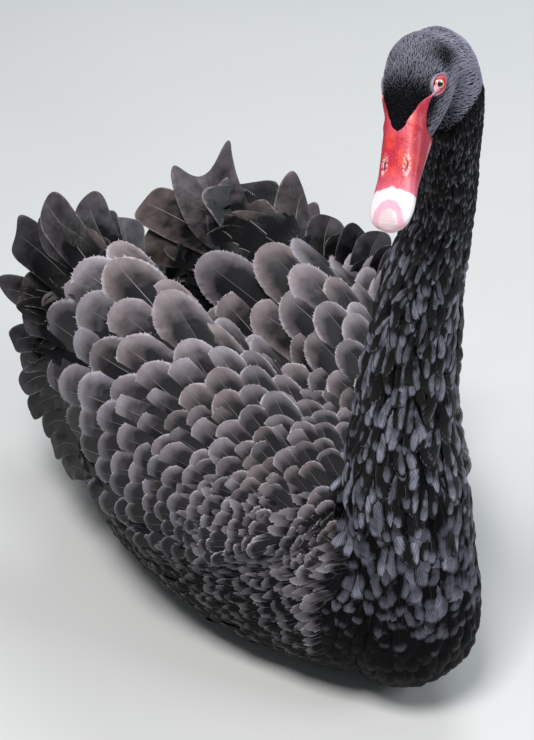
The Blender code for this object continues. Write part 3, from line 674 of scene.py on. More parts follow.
@dataclass(frozen=True)
class FeatherFinish:
    """The finish of feathers: vane, barbs, shaft and worn pale fringe, with painted shade towards the root,
    and along the edges a painted highlight where the edge setting is positive and painted shade where it is
    negative.
    """

    name: str
    dark: Colour
    light: Colour
    warm: Colour
    fringe: Colour
    shaft: Colour
    roughness: float = 0.62
    sheen: float = 0.0
    barb_pitch: float = 1.1
    # how far the barbs lean towards the tip, in radians of their pattern from shaft to edge
    barb_lean: float = 0.0
    barb_depth: float = 0.35
    # sizes of the waver in the barbs and of the mottling, and how far the barbs waver
    ripple_scale: float = 260.0
    mottle_scale: float = 90.0
    waver: float = 5.0
    shaft_width: float = 0.034
    fringe_start: float = 0.93
    # shares of the length where the worn fringe begins and where it is full
    fringe_reach: Pair = (0.3, 0.8)
    # painted highlight along the edges and the tip where positive, as on lit rims; painted shade there where
    # negative, as in the gaps between feathers; it begins at edge_start of the way from shaft to edge
    painted_edge_light: float = 0.34
    edge_start: float = 0.42
    # painted shade towards the root, where the feather above would shade it
    root_shade: float = 0.6
    # shares of the length where the painted shade at the root ends and where it is full
    root_shade_reach: Pair = (0.9, 0.35)
    mottled: float = 0.5
    specular: float = 0.2
    bump: float = 0.0003

    def material(self) -> Material:
        """Builds the material, which reads each feather's own marks and map."""
        n = Nodes(self.name)
        mark = n.add("ShaderNodeAttribute", attribute_name="mark")
        tone, warm, pale = mark.split("ShaderNodeSeparateColor")
        along = mark.beside("Alpha")
        shaft_place, barb, _ = n.add("ShaderNodeUVMap", uv_map="Vane").split("ShaderNodeSeparateXYZ")
        ripple = n.noise(n.place(), self.ripple_scale, 2.0)
        mottle = n.noise(n.place(), self.mottle_scale)
        phase = shaft_place * (tau / self.barb_pitch) + ripple * self.waver - barb * self.barb_lean
        lines = (phase.math("SINE") + 1.0) * 0.5
        # along the edges and the tip: painted highlight where the edge setting is positive, painted shade
        # where it is negative
        edge = barb.step(self.edge_start, 1.0).math("MAXIMUM", along.step(0.8, 1.0))
        value = tone * 0.6 + edge * ((tone + 0.35) * (1.15 * self.painted_edge_light))
        # painted shade towards the root
        value -= along.step(*self.root_shade_reach) * self.root_shade
        value = (value + (mottle - 0.5) * ((tone + 0.2) * self.mottled)).clamped()
        colour = n.mix(warm, n.mix(value, self.dark, self.light), n.mix(value, self.dark, self.warm))
        colour = n.mix(lines * self.barb_depth, colour, BLACK)
        ragged = barb + (ripple - 0.5) * 0.2 + (lines - 0.5) * 0.12
        worn = ragged.step(self.fringe_start, 1.04) * along.step(*self.fringe_reach)
        colour = n.mix(worn * pale, colour, self.fringe)
        ridge = barb.step(self.shaft_width, self.shaft_width * 0.35)
        colour = n.mix(ridge * (pale * 0.8), colour, self.shaft)
        n.set(Base_Color=colour, Roughness=self.roughness, Sheen_Weight=self.sheen, Sheen_Roughness=0.5)
        n.set(Specular_IOR_Level=self.specular, Normal=n.bump(lines * 0.6 + ridge, self.bump))
        return n.material


@dataclass(frozen=True)
class SkinFinish:
    """Dark hide under the coat."""

    dark: Colour = (0.002, 0.002, 0.003)
    light: Colour = (0.008, 0.008, 0.01)

    def material(self) -> Material:
        """Builds the material."""
        n = Nodes("hide")
        grain = n.noise(n.place(), 420.0, 4.0)
        n.set(Base_Color=n.mix(grain, self.dark, self.light), Roughness=0.85, Specular_IOR_Level=0.05)
        n.set(Normal=n.bump(grain, 0.0006))
        return n.material


@dataclass(frozen=True)
class LidFinish:
    """Bare skin round the eye, tinted by the mesh."""

    blood: Colour = (0.3, 0.02, 0.03)

    def material(self) -> Material:
        """Builds the material."""
        n = Nodes("lid_skin")
        tint = n.add("ShaderNodeAttribute", attribute_name="tint")
        grain, veins = n.noise(n.place(), 1400.0, 4.0), n.noise(n.place(), 420.0, 5.0)
        colour = n.mix(0.55, tint, n.mix(veins * 0.5, tint, self.blood, "MULTIPLY"))
        n.set(Base_Color=colour, Roughness=0.42, Subsurface_Weight=0.12)
        n.set(Subsurface_Radius=(0.002, 0.0008, 0.0005), Normal=n.bump(grain, 0.0003))
        return n.material


@dataclass(frozen=True)
class BillFinish:
    """Red horn with a pale band, a pink border and a pale nail, set in the head's axes."""

    head: HeadForm
    name: str = "bill_horn"
    coat: float = 0.06
    red: Colour = (0.43, 0.012, 0.03)
    bright: Colour = (0.66, 0.045, 0.028)
    deep: Colour = (0.24, 0.003, 0.022)
    rose: Colour = (0.56, 0.13, 0.21)
    band: Colour = (0.66, 0.61, 0.63)
    border: Colour = (0.62, 0.35, 0.44)
    nail: Colour = (0.62, 0.48, 0.5)
    # painted shade inside the nostril's slot
    lilac: Colour = (0.56, 0.3, 0.38)
    nostril: Colour = (0.06, 0.003, 0.006)
    rim: Colour = (0.84, 0.52, 0.54)
    grain: Colour = (0.92, 0.5, 0.5)
    # forward and sideways from the head's centre: middles and half sizes
    nail_middle: float = 0.0985
    nail_half: Pair = (0.0085, 0.0066)
    slot_middle: Pair = (0.06, 0.0082)
    slot_half: Pair = (0.004, 0.001)
    # half sizes of the painted glints round the nostril's slot
    slot_glint: Pair = (0.0085, 0.0034)

    def axis(self, n: Nodes, place: Term, direction: Vector) -> Term:
        """Distance from the head's centre along one of its axes, in metres."""
        return n.vector("DOT_PRODUCT", "Value", place, direction) - self.head.centre.dot(direction)

    def material(self) -> Material:
        """Builds the material."""
        n = Nodes(self.name)
        place = n.place()
        forward = self.axis(n, place, self.head.forward)
        left = abs(self.axis(n, place, self.head.left))
        up = self.axis(n, place, self.head.up)
        blotch, fine = n.noise(place, 95.0, 4.0), n.noise(place, 700.0, 5.0)
        veins = n.noise(place, 210.0, 5.0).step(0.5, 0.68)
        line = forward + (n.noise(place, 260.0) - 0.5) * 0.0035
        ahead, aside = (line - self.nail_middle) / self.nail_half[0], left / self.nail_half[1]
        oval = (ahead * ahead + aside * aside).math("SQRT")
        on_top = up.step(-0.006, -0.004)
        ahead = (forward - self.slot_middle[0]) / self.slot_half[0]
        aside = abs(left - self.slot_middle[1]) / self.slot_half[1]
        pit = (ahead * ahead + aside * aside).step(1.0, 0.45) * on_top
        # the oval round the slot, speckled, where glints are painted
        ahead *= self.slot_half[0] / self.slot_glint[0]
        aside *= self.slot_half[1] / self.slot_glint[1]
        patch = (ahead * ahead + aside * aside).step(1.0, 0.35)
        patch *= n.noise(place, 480.0, 2.0).step(0.4, 0.58) * on_top
        mouth = (up + left * 0.06).step(-0.0128, -0.014) * forward.step(0.03, 0.036)
        colour = n.mix(blotch.step(0.42, 0.64), self.red, self.bright)
        for share, paint in (
            (left.step(0.008, 0.0135) * 0.7, self.deep),
            (veins * 0.35, self.deep),
            (forward.step(0.06, 0.078) * 0.6, self.rose),
            (forward.step(0.045, 0.034) * left.step(0.012, 0.002) * 0.6, self.rose),
            (line.step(0.016, 0.008), self.lilac),
            ((line - left * 0.28).step(0.0735, 0.0752), self.band),
            (oval.step(1.85, 1.65), self.border),
            (oval.step(1.14, 1.02), self.nail),
            # painted glints round the nostril, then painted shade in its slot
            (patch * 0.55, self.band),
            (pit * 0.85, self.nostril),
            (mouth * 0.8, self.rim),
            (up.step(-0.0152, -0.0164) * forward.step(0.088, 0.08), self.deep),
            (fine.step(0.55, 0.75) * 0.1, self.grain),
        ):
            colour = n.mix(share, colour, paint)
        n.set(Base_Color=colour, Roughness=0.47, Subsurface_Weight=0.06, Coat_Weight=self.coat)
        n.set(Subsurface_Radius=(0.003, 0.001, 0.0008), Coat_Roughness=0.18)
        n.set(Normal=n.bump(fine + blotch * 2.0, 0.0004))
        return n.material


@dataclass(frozen=True)
class EyeFinish:
    """A wet eye: black pupil, pale ring, red iris, set about the eye's axis."""

    name: str
    centre: Vector
    gaze: Vector
    pupil: Colour = (0.004, 0.002, 0.002)
    # radius where each ring begins and where it is full, and its colour
    rings: tuple[tuple[float, float, Colour], ...] = (
        (0.0018, 0.0022, (0.74, 0.42, 0.36)),
        (0.0023, 0.0028, (0.76, 0.17, 0.15)),
        (0.003, 0.0037, (0.4, 0.02, 0.035)),
    )
    streaks: Colour = (0.95, 0.55, 0.45)

    def material(self) -> Material:
        """Builds the material."""
        n = Nodes(self.name)
        place = n.place()
        offset = n.vector("SUBTRACT", "Vector", place, self.centre)
        across = n.vector("CROSS_PRODUCT", "Vector", offset, self.gaze)
        streak = n.noise(place, 900.0)
        spot = n.vector("LENGTH", "Value", across) + (streak - 0.5) * 0.0004
        colour = self.pupil
        for start, full, paint in self.rings:
            colour = n.mix(spot.step(start, full), colour, paint)
        colour = n.mix(streak.step(0.5, 0.8) * 0.25, colour, self.streaks)
        n.set(Base_Color=colour, Roughness=0.12, Coat_Weight=1.0, Coat_Roughness=0.03)
        n.set(Normal=n.bump(streak, 0.00008))
        return n.material


@dataclass(frozen=True)
class LegFinish:
    """Dark scaly skin of feet and shanks."""

    dark: Colour = (0.018, 0.018, 0.02)
    light: Colour = (0.055, 0.053, 0.052)
    seam: Colour = (0.01, 0.01, 0.011)

    def material(self) -> Material:
        """Builds the material."""
        n = Nodes("leg_scales")
        cells = {"Vector": n.place(), "Scale": 420.0}
        scale = n.add("ShaderNodeTexVoronoi", cells, "Distance", feature="DISTANCE_TO_EDGE").step(0.02, 0.16)
        colour = n.mix(n.noise(n.place(), 160.0, 4.0), self.dark, self.light)
        n.set(Base_Color=n.mix(scale, self.seam, colour), Roughness=0.48)
        n.set(Normal=n.bump(scale, 0.0005))
        return n.material


WING_FINISH = FeatherFinish(
    "covert_feathers", dark=(0.007, 0.006, 0.008), light=(0.38, 0.355, 0.415),
    warm=(0.31, 0.25, 0.25), fringe=(0.52, 0.49, 0.54), shaft=(0.26, 0.24, 0.26),
    roughness=0.55, sheen=0.02, shaft_width=0.022, painted_edge_light=0.5, root_shade=0.46,
    root_shade_reach=(1.0, 0.5), mottled=0.7, barb_depth=0.42, fringe_start=0.9,
)
PLUME_FINISH = FeatherFinish(
    "plume_feathers", dark=(0.0012, 0.0012, 0.002), light=(0.17, 0.162, 0.2),
    warm=(0.2, 0.13, 0.105), fringe=(0.34, 0.3, 0.29), shaft=(0.45, 0.41, 0.41),
    roughness=0.36, shaft_width=0.018, fringe_start=0.965, barb_depth=0.3, painted_edge_light=0.16,
    root_shade=0.36, root_shade_reach=(0.95, 0.25), mottled=1.2, specular=0.16,
)
# the locks and scales are painted light and bluish along their middles and dark at their edges: painted
# highlight and painted shade
NECK_FINISH = FeatherFinish(
    "neck_feathers", dark=(0.001, 0.001, 0.0015), light=(0.6, 0.615, 0.79),
    warm=(0.5, 0.5, 0.59), fringe=(0.24, 0.24, 0.29), shaft=(0.2, 0.2, 0.24),
    roughness=0.46, barb_pitch=5.0, barb_lean=20.0, barb_depth=0.45, painted_edge_light=-0.62,
    edge_start=0.2, root_shade=0.34, mottled=0.9, specular=0.22,
)
BREAST_FINISH = FeatherFinish(
    "breast_scales", dark=(0.001, 0.001, 0.0015), light=(0.36, 0.368, 0.485),
    warm=(0.305, 0.3, 0.35), fringe=(0.18, 0.18, 0.23), shaft=(0.12, 0.12, 0.15),
    roughness=0.55, barb_pitch=4.0, barb_lean=22.0, barb_depth=0.5, painted_edge_light=-0.3,
    edge_start=0.3, root_shade=0.34, mottled=0.8, specular=0.08,
)
BODY_FINISH = FeatherFinish(
    "body_feathers", dark=(0.002, 0.002, 0.003), light=(0.345, 0.325, 0.37),
    warm=(0.29, 0.25, 0.245), fringe=(0.36, 0.34, 0.38), shaft=(0.2, 0.18, 0.2),
    roughness=0.6, barb_depth=0.55, painted_edge_light=0.12, specular=0.1,
)
VELVET_FINISH = FeatherFinish(
    "head_velvet", dark=(0.001, 0.001, 0.002), light=(0.5, 0.505, 0.64),
    warm=(0.26, 0.245, 0.27), fringe=(0.16, 0.16, 0.18), shaft=(0.1, 0.1, 0.11),
    roughness=0.72, barb_depth=0.0, painted_edge_light=0.0, root_shade=0.16, mottled=0.15, specular=0.05,
)


# Feathers


@dataclass
class Pattern:
    """A feather's flat pattern: where each of its points lies on a feather."""

    along: np.ndarray
    across: np.ndarray
    rise: np.ndarray
    layer: np.ndarray
    shaft: np.ndarray
    barb: np.ndarray
    tips: np.ndarray
    faces: np.ndarray


@dataclass(frozen=True)
class VaneForm:
    """A closed vane with a shaft, slanting barbs and a rim that frays into points."""

    base: float = 0.4
    widest: float = 0.5
    roundness: float = 2.2
    side_steps: int = 3
    tip_steps: int = 7
    barb_steps: int = 2
    slant: float = 0.9
    aspect: float = 0.25
    camber: float = 0.16
    fringe: float = 0.1
    fringe_from: float = 0.35
    thickness: float = 0.0005
    rim: float = 0.00016

    def outline(self) -> list[Pair]:
        """Points down one edge, as (along, across) shares."""
        points = []
        for k in range(self.side_steps + 1):
            t = k / self.side_steps
            points.append((self.widest * t, self.base + (1 - self.base) * sin(pi / 2 * t) ** 0.8))
        for k in range(1, self.tip_steps + 1):
            a = pi / 2 * k / self.tip_steps
            v = self.widest + (1 - self.widest) * sin(a) ** (2 / self.roundness)
            points.append((v, cos(a) ** (2 / self.roundness) if k < self.tip_steps else 0.0))
        return points

    def pattern(self) -> Pattern:
        """Builds the points and the triangles of the closed vane."""
        outline = self.outline()
        last = len(outline) - 1
        rows: list[tuple[float, ...]] = []
        faces: list[tuple[int, ...]] = []

        def point(along: float, across: float, layer: float, shaft: float, barb: float, tip: float) -> int:
            rise = -self.camber * across * across
            rows.append((along, across, rise, layer, shaft, barb, tip))
            return len(rows) - 1

        half, steps = 0.5 * self.thickness, self.barb_steps
        starts = []
        for v, w in outline:
            starts.append(max(0.0, v - self.slant * w * self.aspect * min(1.0, v / self.widest)))
        starts[-1] = 1.0
        spine = [point(s, 0.0, half, s, 0.0, 0.0) for s in starts]
        under = [point(s, 0.0, -half, s, 0.0, 0.0) for s in starts]
        for side in (1, -1):
            top, low = [], []
            for (v, w), s in zip(outline[:-1], starts):
                line = []
                for j in range(1, steps + 1):
                    height = half + (0.5 * self.rim - half) * j / steps
                    spot = s + (v - s) * j / steps, side * w * j / steps, height
                    line.append(point(*spot, s, j / steps, 0.0))
                top.append(line)
                low.append(point(v, side * w, -0.5 * self.rim, s, 1.0, 0.0))

            def face(*ids: int) -> None:
                faces.append(ids if side > 0 else ids[::-1])

            for i in range(last):
                near = [spine[i], *top[i]]
                far = [spine[i + 1], *top[i + 1]] if i + 1 < last else [spine[last]] * len(near)
                for j in range(steps):
                    face(near[j], near[j + 1], far[j + 1])
                    if far[j] != far[j + 1]:
                        face(near[j], far[j + 1], far[j])
                edge = (near[-1], low[i], low[i + 1] if i + 1 < last else under[last], far[-1])
                face(under[i], edge[2], edge[1])
                if i + 1 < last:
                    face(under[i], under[i + 1], edge[2])
                v = 0.5 * (outline[i][0] + outline[i + 1][0])
                w = 0.5 * (outline[i][1] + outline[i + 1][1])
                s = 0.5 * (starts[i] + starts[i + 1])
                if self.fringe > 0 and self.fringe_from < v and i + 1 < last:
                    fray = self.fringe * ease(self.fringe_from, 0.75, v)
                    v_tip = v + fray * (0.5 * (v - s) + 0.5 * self.aspect)
                    tip = point(v_tip, side * w * (1 + fray), 0.0, s, 1.0 + fray, 1.0)
                    for a, b in zip(edge, (*edge[1:], edge[0])):
                        face(a, b, tip)
                else:
                    face(edge[0], edge[1], edge[2])
                    face(edge[0], edge[2], edge[3])
            root = [spine[0], *top[0], low[0]]
            for a, b in zip(root, root[1:]):
                face(b, a, under[0])
        data = np.array(rows)
        return Pattern(*data[:, :6].T, tips=data[:, 6] > 0, faces=np.array(faces))


@dataclass(frozen=True)
class TuftForm:
    """A small tapering tuft of three sides, for the velvet of the head."""

    middle: float = 0.55
    middle_width: float = 0.8
    base_width: float = 0.7
    rise: float = 0.6

    def pattern(self) -> Pattern:
        """Builds the points and the triangles."""
        rows = []
        for along, width in ((0.0, self.base_width), (self.middle, self.middle_width)):
            for across, rise in ((-1.0, 0.0), (1.0, 0.0), (0.0, self.rise)):
                rows.append((along, across * width, rise * width, 0.0, along, abs(across)))
        rows.append((1.0, 0.0, 0.0, 0.0, 1.0, 0.5))
        faces = [(0, 2, 1)]
        for a, b in ((0, 1), (1, 2), (2, 0)):
            faces += [(b, a, a + 3), (b, a + 3, b + 3), (b + 3, a + 3, 6)]
        data = np.array(rows)
        return Pattern(*data.T, tips=np.zeros(len(rows), bool), faces=np.array(faces)[:, ::-1])


@dataclass
class Coat:
    """Feathers of one form, gathered one by one and joined in one mesh."""

    form: VaneForm | TuftForm
    seed: int
    patch: float = 0.003
    fray_scatter: Pair = (0.5, 1.9)
    paths: list = field(default_factory=list)
    normals: list = field(default_factory=list)
    numbers: list = field(default_factory=list)

    def add(
        self, line: tuple[Line, Line], width: float, home: Pair, roll: float = 0.0, twist: float = 0.0,
        cup: float = 0.0, wave: float = 0.0, horn: float = 0.0, skew: float = 0.0, tone: float = 0.5,
        warm: float = 0.0, pale: float = 0.5,
    ) -> None:
        """Adds one feather.

        Args:
            line: Points down its shaft, and the way its upper face looks at each.
            width: Full width in metres.
            home: Its root's place on the unwrapped skin, both from 0 to 1.
            roll: Turn about its shaft, in radians.
            twist: Further turn by its tip.
            cup: Lift of its edges by the tip, in half widths.
            wave: Ruffle along its edges, in half widths.
            horn: How far the corners of its tip run ahead of its shaft, in half widths.
            skew: How far one corner runs ahead of the other, in half widths.
            tone: 0 for its darkest colour, 1 for its lightest.
            warm: Share of brown.
            pale: How worn and pale its fringe and shaft are.
        """
        path, normals = line
        self.paths.append([tuple(p) for p in path])
        self.normals.append([tuple(v) for v in normals])
        shares = clamp(tone), clamp(warm), clamp(pale)
        self.numbers.append((width, *home, roll, twist, cup, wave, horn, skew, *shares))

    @staticmethod
    def weights(along: np.ndarray, count: int) -> tuple[np.ndarray, np.ndarray]:
        """Weights that read a path and its direction.

        Args:
            along: Shares of its length to read at.
            count: How many points it has.

        Returns:
            Weights for the places and for the directions, a row for each share.
        """
        extend = np.zeros((count + 2, count))
        extend[1:-1] = np.eye(count)
        extend[0, :2] = (2, -1)
        extend[-1, -2:] = (-1, 2)
        t = along * (count - 1)
        i = np.clip(np.floor(t).astype(int), 0, count - 2)
        s = t - i
        value = np.stack(blend(s))
        slope = np.stack((-0.5 + 2 * s - 1.5 * s**2, -5 * s + 4.5 * s**2,
                          0.5 + 4 * s - 4.5 * s**2, -s + 1.5 * s**2))
        place, turn = np.zeros((len(t), count + 2)), np.zeros((len(t), count + 2))
        for k in range(4):
            place[np.arange(len(t)), i + k] += value[k]
            turn[np.arange(len(t)), i + k] += slope[k]
        return place @ extend, turn @ extend

    def build(self, name: str, material: Material) -> Piece:
        """Joins all the feathers in one object.

        Args:
            name: The object's name.
            material: Its finish.

        Returns:
            The new object, in place.
        """
        p = self.form.pattern()
        paths, normals = np.array(self.paths), np.array(self.normals)
        n = np.array(self.numbers)
        width, home = n[:, 0], n[:, 1:3]
        roll, twist, cup, wave, horn, skew = n[:, 3:9].T
        count, points = len(n), len(p.along)
        draw = np.random.default_rng(self.seed)
        low, high = self.fray_scatter
        fray = np.where(p.tips, low + (high - low) * draw.random((count, points)) ** 2, 1.0)
        across = np.where(p.tips, p.across * (1 + (fray - 1) * 0.06), p.across)
        read, slope = self.weights(p.along, paths.shape[1])
        place = np.einsum("mk,nkc->nmc", read, paths)
        ahead = np.einsum("mk,nkc->nmc", slope, paths)
        up = np.einsum("mk,nkc->nmc", read, normals)
        ahead /= np.linalg.norm(ahead, axis=2, keepdims=True)
        side = np.cross(ahead, up)
        side /= np.linalg.norm(side, axis=2, keepdims=True)
        up = np.cross(side, ahead)
        angle = roll[:, None] + twist[:, None] * p.along**2
        c, s = np.cos(angle)[..., None], np.sin(angle)[..., None]
        side, up = side * c + up * s, up * c - side * s
        half = 0.5 * width[:, None]
        rise = p.rise + cup[:, None] * p.across**2 * p.along**2
        rise = rise + wave[:, None] * p.across * np.sin(p.along * 9.0 + home[:, :1] * 40.0)
        jitter = np.where(p.tips, draw.normal(0.0, 0.05, (count, points)), 0.0)
        lift = (rise + jitter) * half + p.layer
        reach = (fray - 1.0) * 0.25 * half * p.tips
        corner = horn[:, None] * p.across**2 + skew[:, None] * p.across
        reach = reach + corner * half * np.clip(p.along, 0, 1) ** 3
        verts = place + side * (across * half)[..., None] + up * lift[..., None] + ahead * reach[..., None]
        verts = verts.reshape(-1, 3)
        verts[:, 2] = np.maximum(verts[:, 2], FLOOR_CLEARANCE)
        faces = (p.faces[None] + (np.arange(count) * points)[:, None, None]).reshape(-1, 3)
        mesh = bpy.data.meshes.new(name)
        mesh.vertices.add(len(verts))
        mesh.vertices.foreach_set("co", verts.astype(np.float32).ravel())
        mesh.loops.add(faces.size)
        mesh.loops.foreach_set("vertex_index", faces.astype(np.int32).ravel())
        mesh.polygons.add(len(faces))
        mesh.polygons.foreach_set("loop_start", np.arange(0, faces.size, 3, dtype=np.int32))
        mesh.update(calc_edges=True)
        length = np.linalg.norm(np.diff(paths, axis=1), axis=2).sum(1)
        shaft = p.shaft[None] * length[:, None] * 1000 + 100 * draw.random((count, 1))
        barb = np.broadcast_to(p.barb, (count, points))
        self._map(mesh, "Vane", shaft, barb, faces)
        patch_u = home[:, :1] + self.patch * 0.5 * p.across
        patch_v = home[:, 1:] + self.patch * p.along
        self._map(mesh, "OFBake", patch_u, patch_v, faces)
        mark = np.empty((count, points, 4), np.float32)
        mark[..., :3] = n[:, None, 9:12]
        mark[..., 3] = np.clip(p.along, 0, 1)
        mesh.attributes.new("mark", "FLOAT_COLOR", "POINT").data.foreach_set("color", mark.ravel())
        mesh.shade_smooth()
        mesh.set_sharp_from_angle(angle=radians(50))
        mesh.materials.append(material)
        return linked(name, mesh)

    @staticmethod
    def _map(mesh: bpy.types.Mesh, name: str, u: np.ndarray, v: np.ndarray, faces: np.ndarray) -> None:
        """Adds a UV map from one pair of values for each point."""
        pairs = np.stack((u.ravel(), v.ravel()), 1).astype(np.float32)
        mesh.uv_layers.new(name=name).uv.foreach_set("vector", pairs[faces.ravel()].ravel())


# Skin


@dataclass
class Skin:
    """One skin over all the flesh, under the coat, and the ground that feathers lie on."""

    torso: TorsoForm
    column: ColumnForm
    head: HeadForm
    wings: dict[int, WingForm]
    voxel: float = 0.0028
    smoothing: int = 9
    smooth_share: float = 0.6
    coat_depth: float = -0.0035
    neck_depth: float = -0.0022
    nape_depth: float = -0.0004
    nape: Pair = (15.5, 17.5)
    head_depth: float = -0.0004
    wing_depth: float = -0.003
    bend_limit: float = cos(radians(48))

    def build(self) -> Piece:
        """Fuses the forms, smooths them and prepares the searches."""
        bm = bmesh.new()
        bodies = {
            Region.TORSO: self.torso.outline(self.coat_depth),
            Region.COLUMN: self.column_rings(),
            Region.HEAD: self.head.outline(self.head_depth),
        }
        for rings in bodies.values():
            loft(bm, rings)
        self.trees = {}
        for side, wing in self.wings.items():
            outer, inner = wing.faces(self.wing_depth)
            loft(bm, [a + b[::-1] for a, b in zip(outer, inner)])
            self.trees[(Region.WING, side)] = grid_tree(outer)
            self.trees[(Region.HOLLOW, side)] = grid_tree(inner)
        for region, rings in bodies.items():
            self.trees[(region, 0)] = grid_tree([[*ring, ring[0]] for ring in rings])
        raw = finished(bm, "raw_skin")
        remesh = raw.modifiers.new("remesh", "REMESH")
        remesh.mode = "VOXEL"
        remesh.voxel_size = self.voxel
        smooth = raw.modifiers.new("smooth", "SMOOTH")
        smooth.factor = self.smooth_share
        smooth.iterations = self.smoothing
        mesh = evaluated(raw)
        bpy.data.objects.remove(raw)
        mesh.shade_smooth()
        mesh.materials.clear()
        mesh.materials.append(SkinFinish().material())
        mesh.name = "skin"
        skin = linked("skin", mesh)
        self.mesh = mesh
        self.tree = BVHTree.FromPolygons([v.co for v in mesh.vertices], [f.vertices for f in mesh.polygons])
        corners = np.array([v.normal for v in mesh.vertices])
        self.face_normals = [Vector(corners[list(f.vertices)].mean(0)).normalized() for f in mesh.polygons]
        return skin

    def column_rings(self) -> list[Line]:
        """Rings from the base of the neck to the nape, less deep under the head's short velvet."""
        last = len(self.column.stations) - 1.0
        rings = []
        for t in spread(int(2 * last) + 1, 0.0, last):
            depth = self.neck_depth + (self.nape_depth - self.neck_depth) * ease(*self.nape, t)
            rings.append(self.column.ring(t, depth))
        return rings

    def nearest(self, point: Vector) -> tuple[Vector, Vector]:
        """The nearest place on the skin and its outward direction."""
        place, _, index, _ = self.tree.find_nearest(point)
        return place, self.face_normals[index]

    def region(self, point: Vector) -> tuple[Region, int]:
        """The region and side of a place on the skin."""
        found = ((tree.find_nearest(point)[3], key) for key, tree in self.trees.items())
        return min(found, key=lambda pair: pair[0])[1]

    def lay(self, place: Vector, heading: Vector, length: float, lifts: list[float]) -> tuple[Line, Line]:
        """Walks over the skin and returns a feather's line and its normals.

        Args:
            place: Where the root is, on or near the skin.
            heading: The way the feather points.
            length: Its length in metres.
            lifts: Its height over the skin at each step.

        Returns:
            Points down the feather, and the outward direction at each.
        """
        step = length / (len(lifts) - 1)
        place, normal = self.nearest(place)
        path, normals = [], []
        for lift in lifts:
            path.append(place + normal * lift)
            normals.append(normal)
            heading = (heading - normal * heading.dot(normal)).normalized()
            ahead, turned = self.nearest(place + heading * step)
            if turned.dot(normal) < self.bend_limit:
                place = place + heading * step
            else:
                place, normal = ahead, (normal * 0.4 + turned * 0.6).normalized()
        return path, normals

    def scatter(
        self, spacing: float, draw: random.Random, accept: Callable[[Vector], bool]
    ) -> list[tuple[Vector, Vector]]:
        """Places spread evenly over the skin, no two nearer than the spacing.

        Args:
            spacing: Least distance between two places.
            draw: The seeded draw.
            accept: Called with a face's centre, says whether it counts.

        Returns:
            Places on the skin with their outward directions.
        """
        faces = [f for f in self.mesh.polygons if accept(f.center)]
        areas = [f.area for f in faces]
        tries = int(sum(areas) / spacing**2 * 3.2)
        taken: dict[tuple[int, int, int], Line] = {}
        places = []
        for face in draw.choices(faces, areas, k=tries):
            shares = [draw.random() for _ in face.vertices]
            total = sum(shares)
            corners = (self.mesh.vertices[v].co for v in face.vertices)
            point = sum((corner * (share / total) for corner, share in zip(corners, shares)), Vector())
            cell = tuple(int(c // spacing) for c in point)
            near = (
                other
                for i in (-1, 0, 1)
                for j in (-1, 0, 1)
                for k in (-1, 0, 1)
                for other in taken.get((cell[0] + i, cell[1] + j, cell[2] + k), ())
            )
            if all((other - point).length > spacing for other in near):
                taken.setdefault(cell, []).append(point)
                places.append((point, self.face_normals[face.index]))
        return places


# Coats


def lifts(root: float, tip: float, count: int, curl: float = 0.0, bulge: float = 0.0) -> list[float]:
    """Heights over the skin from root to tip, with the middle bulged and the tip curled up."""
    return [root + (tip - root) * t + curl * t**3 + bulge * sin(pi * t) for t in spread(count)]


def shaken(draw: random.Random, *amounts: float) -> Vector:
    """A small random turn of a heading."""
    return Vector([draw.gauss(0, amount) for amount in amounts])


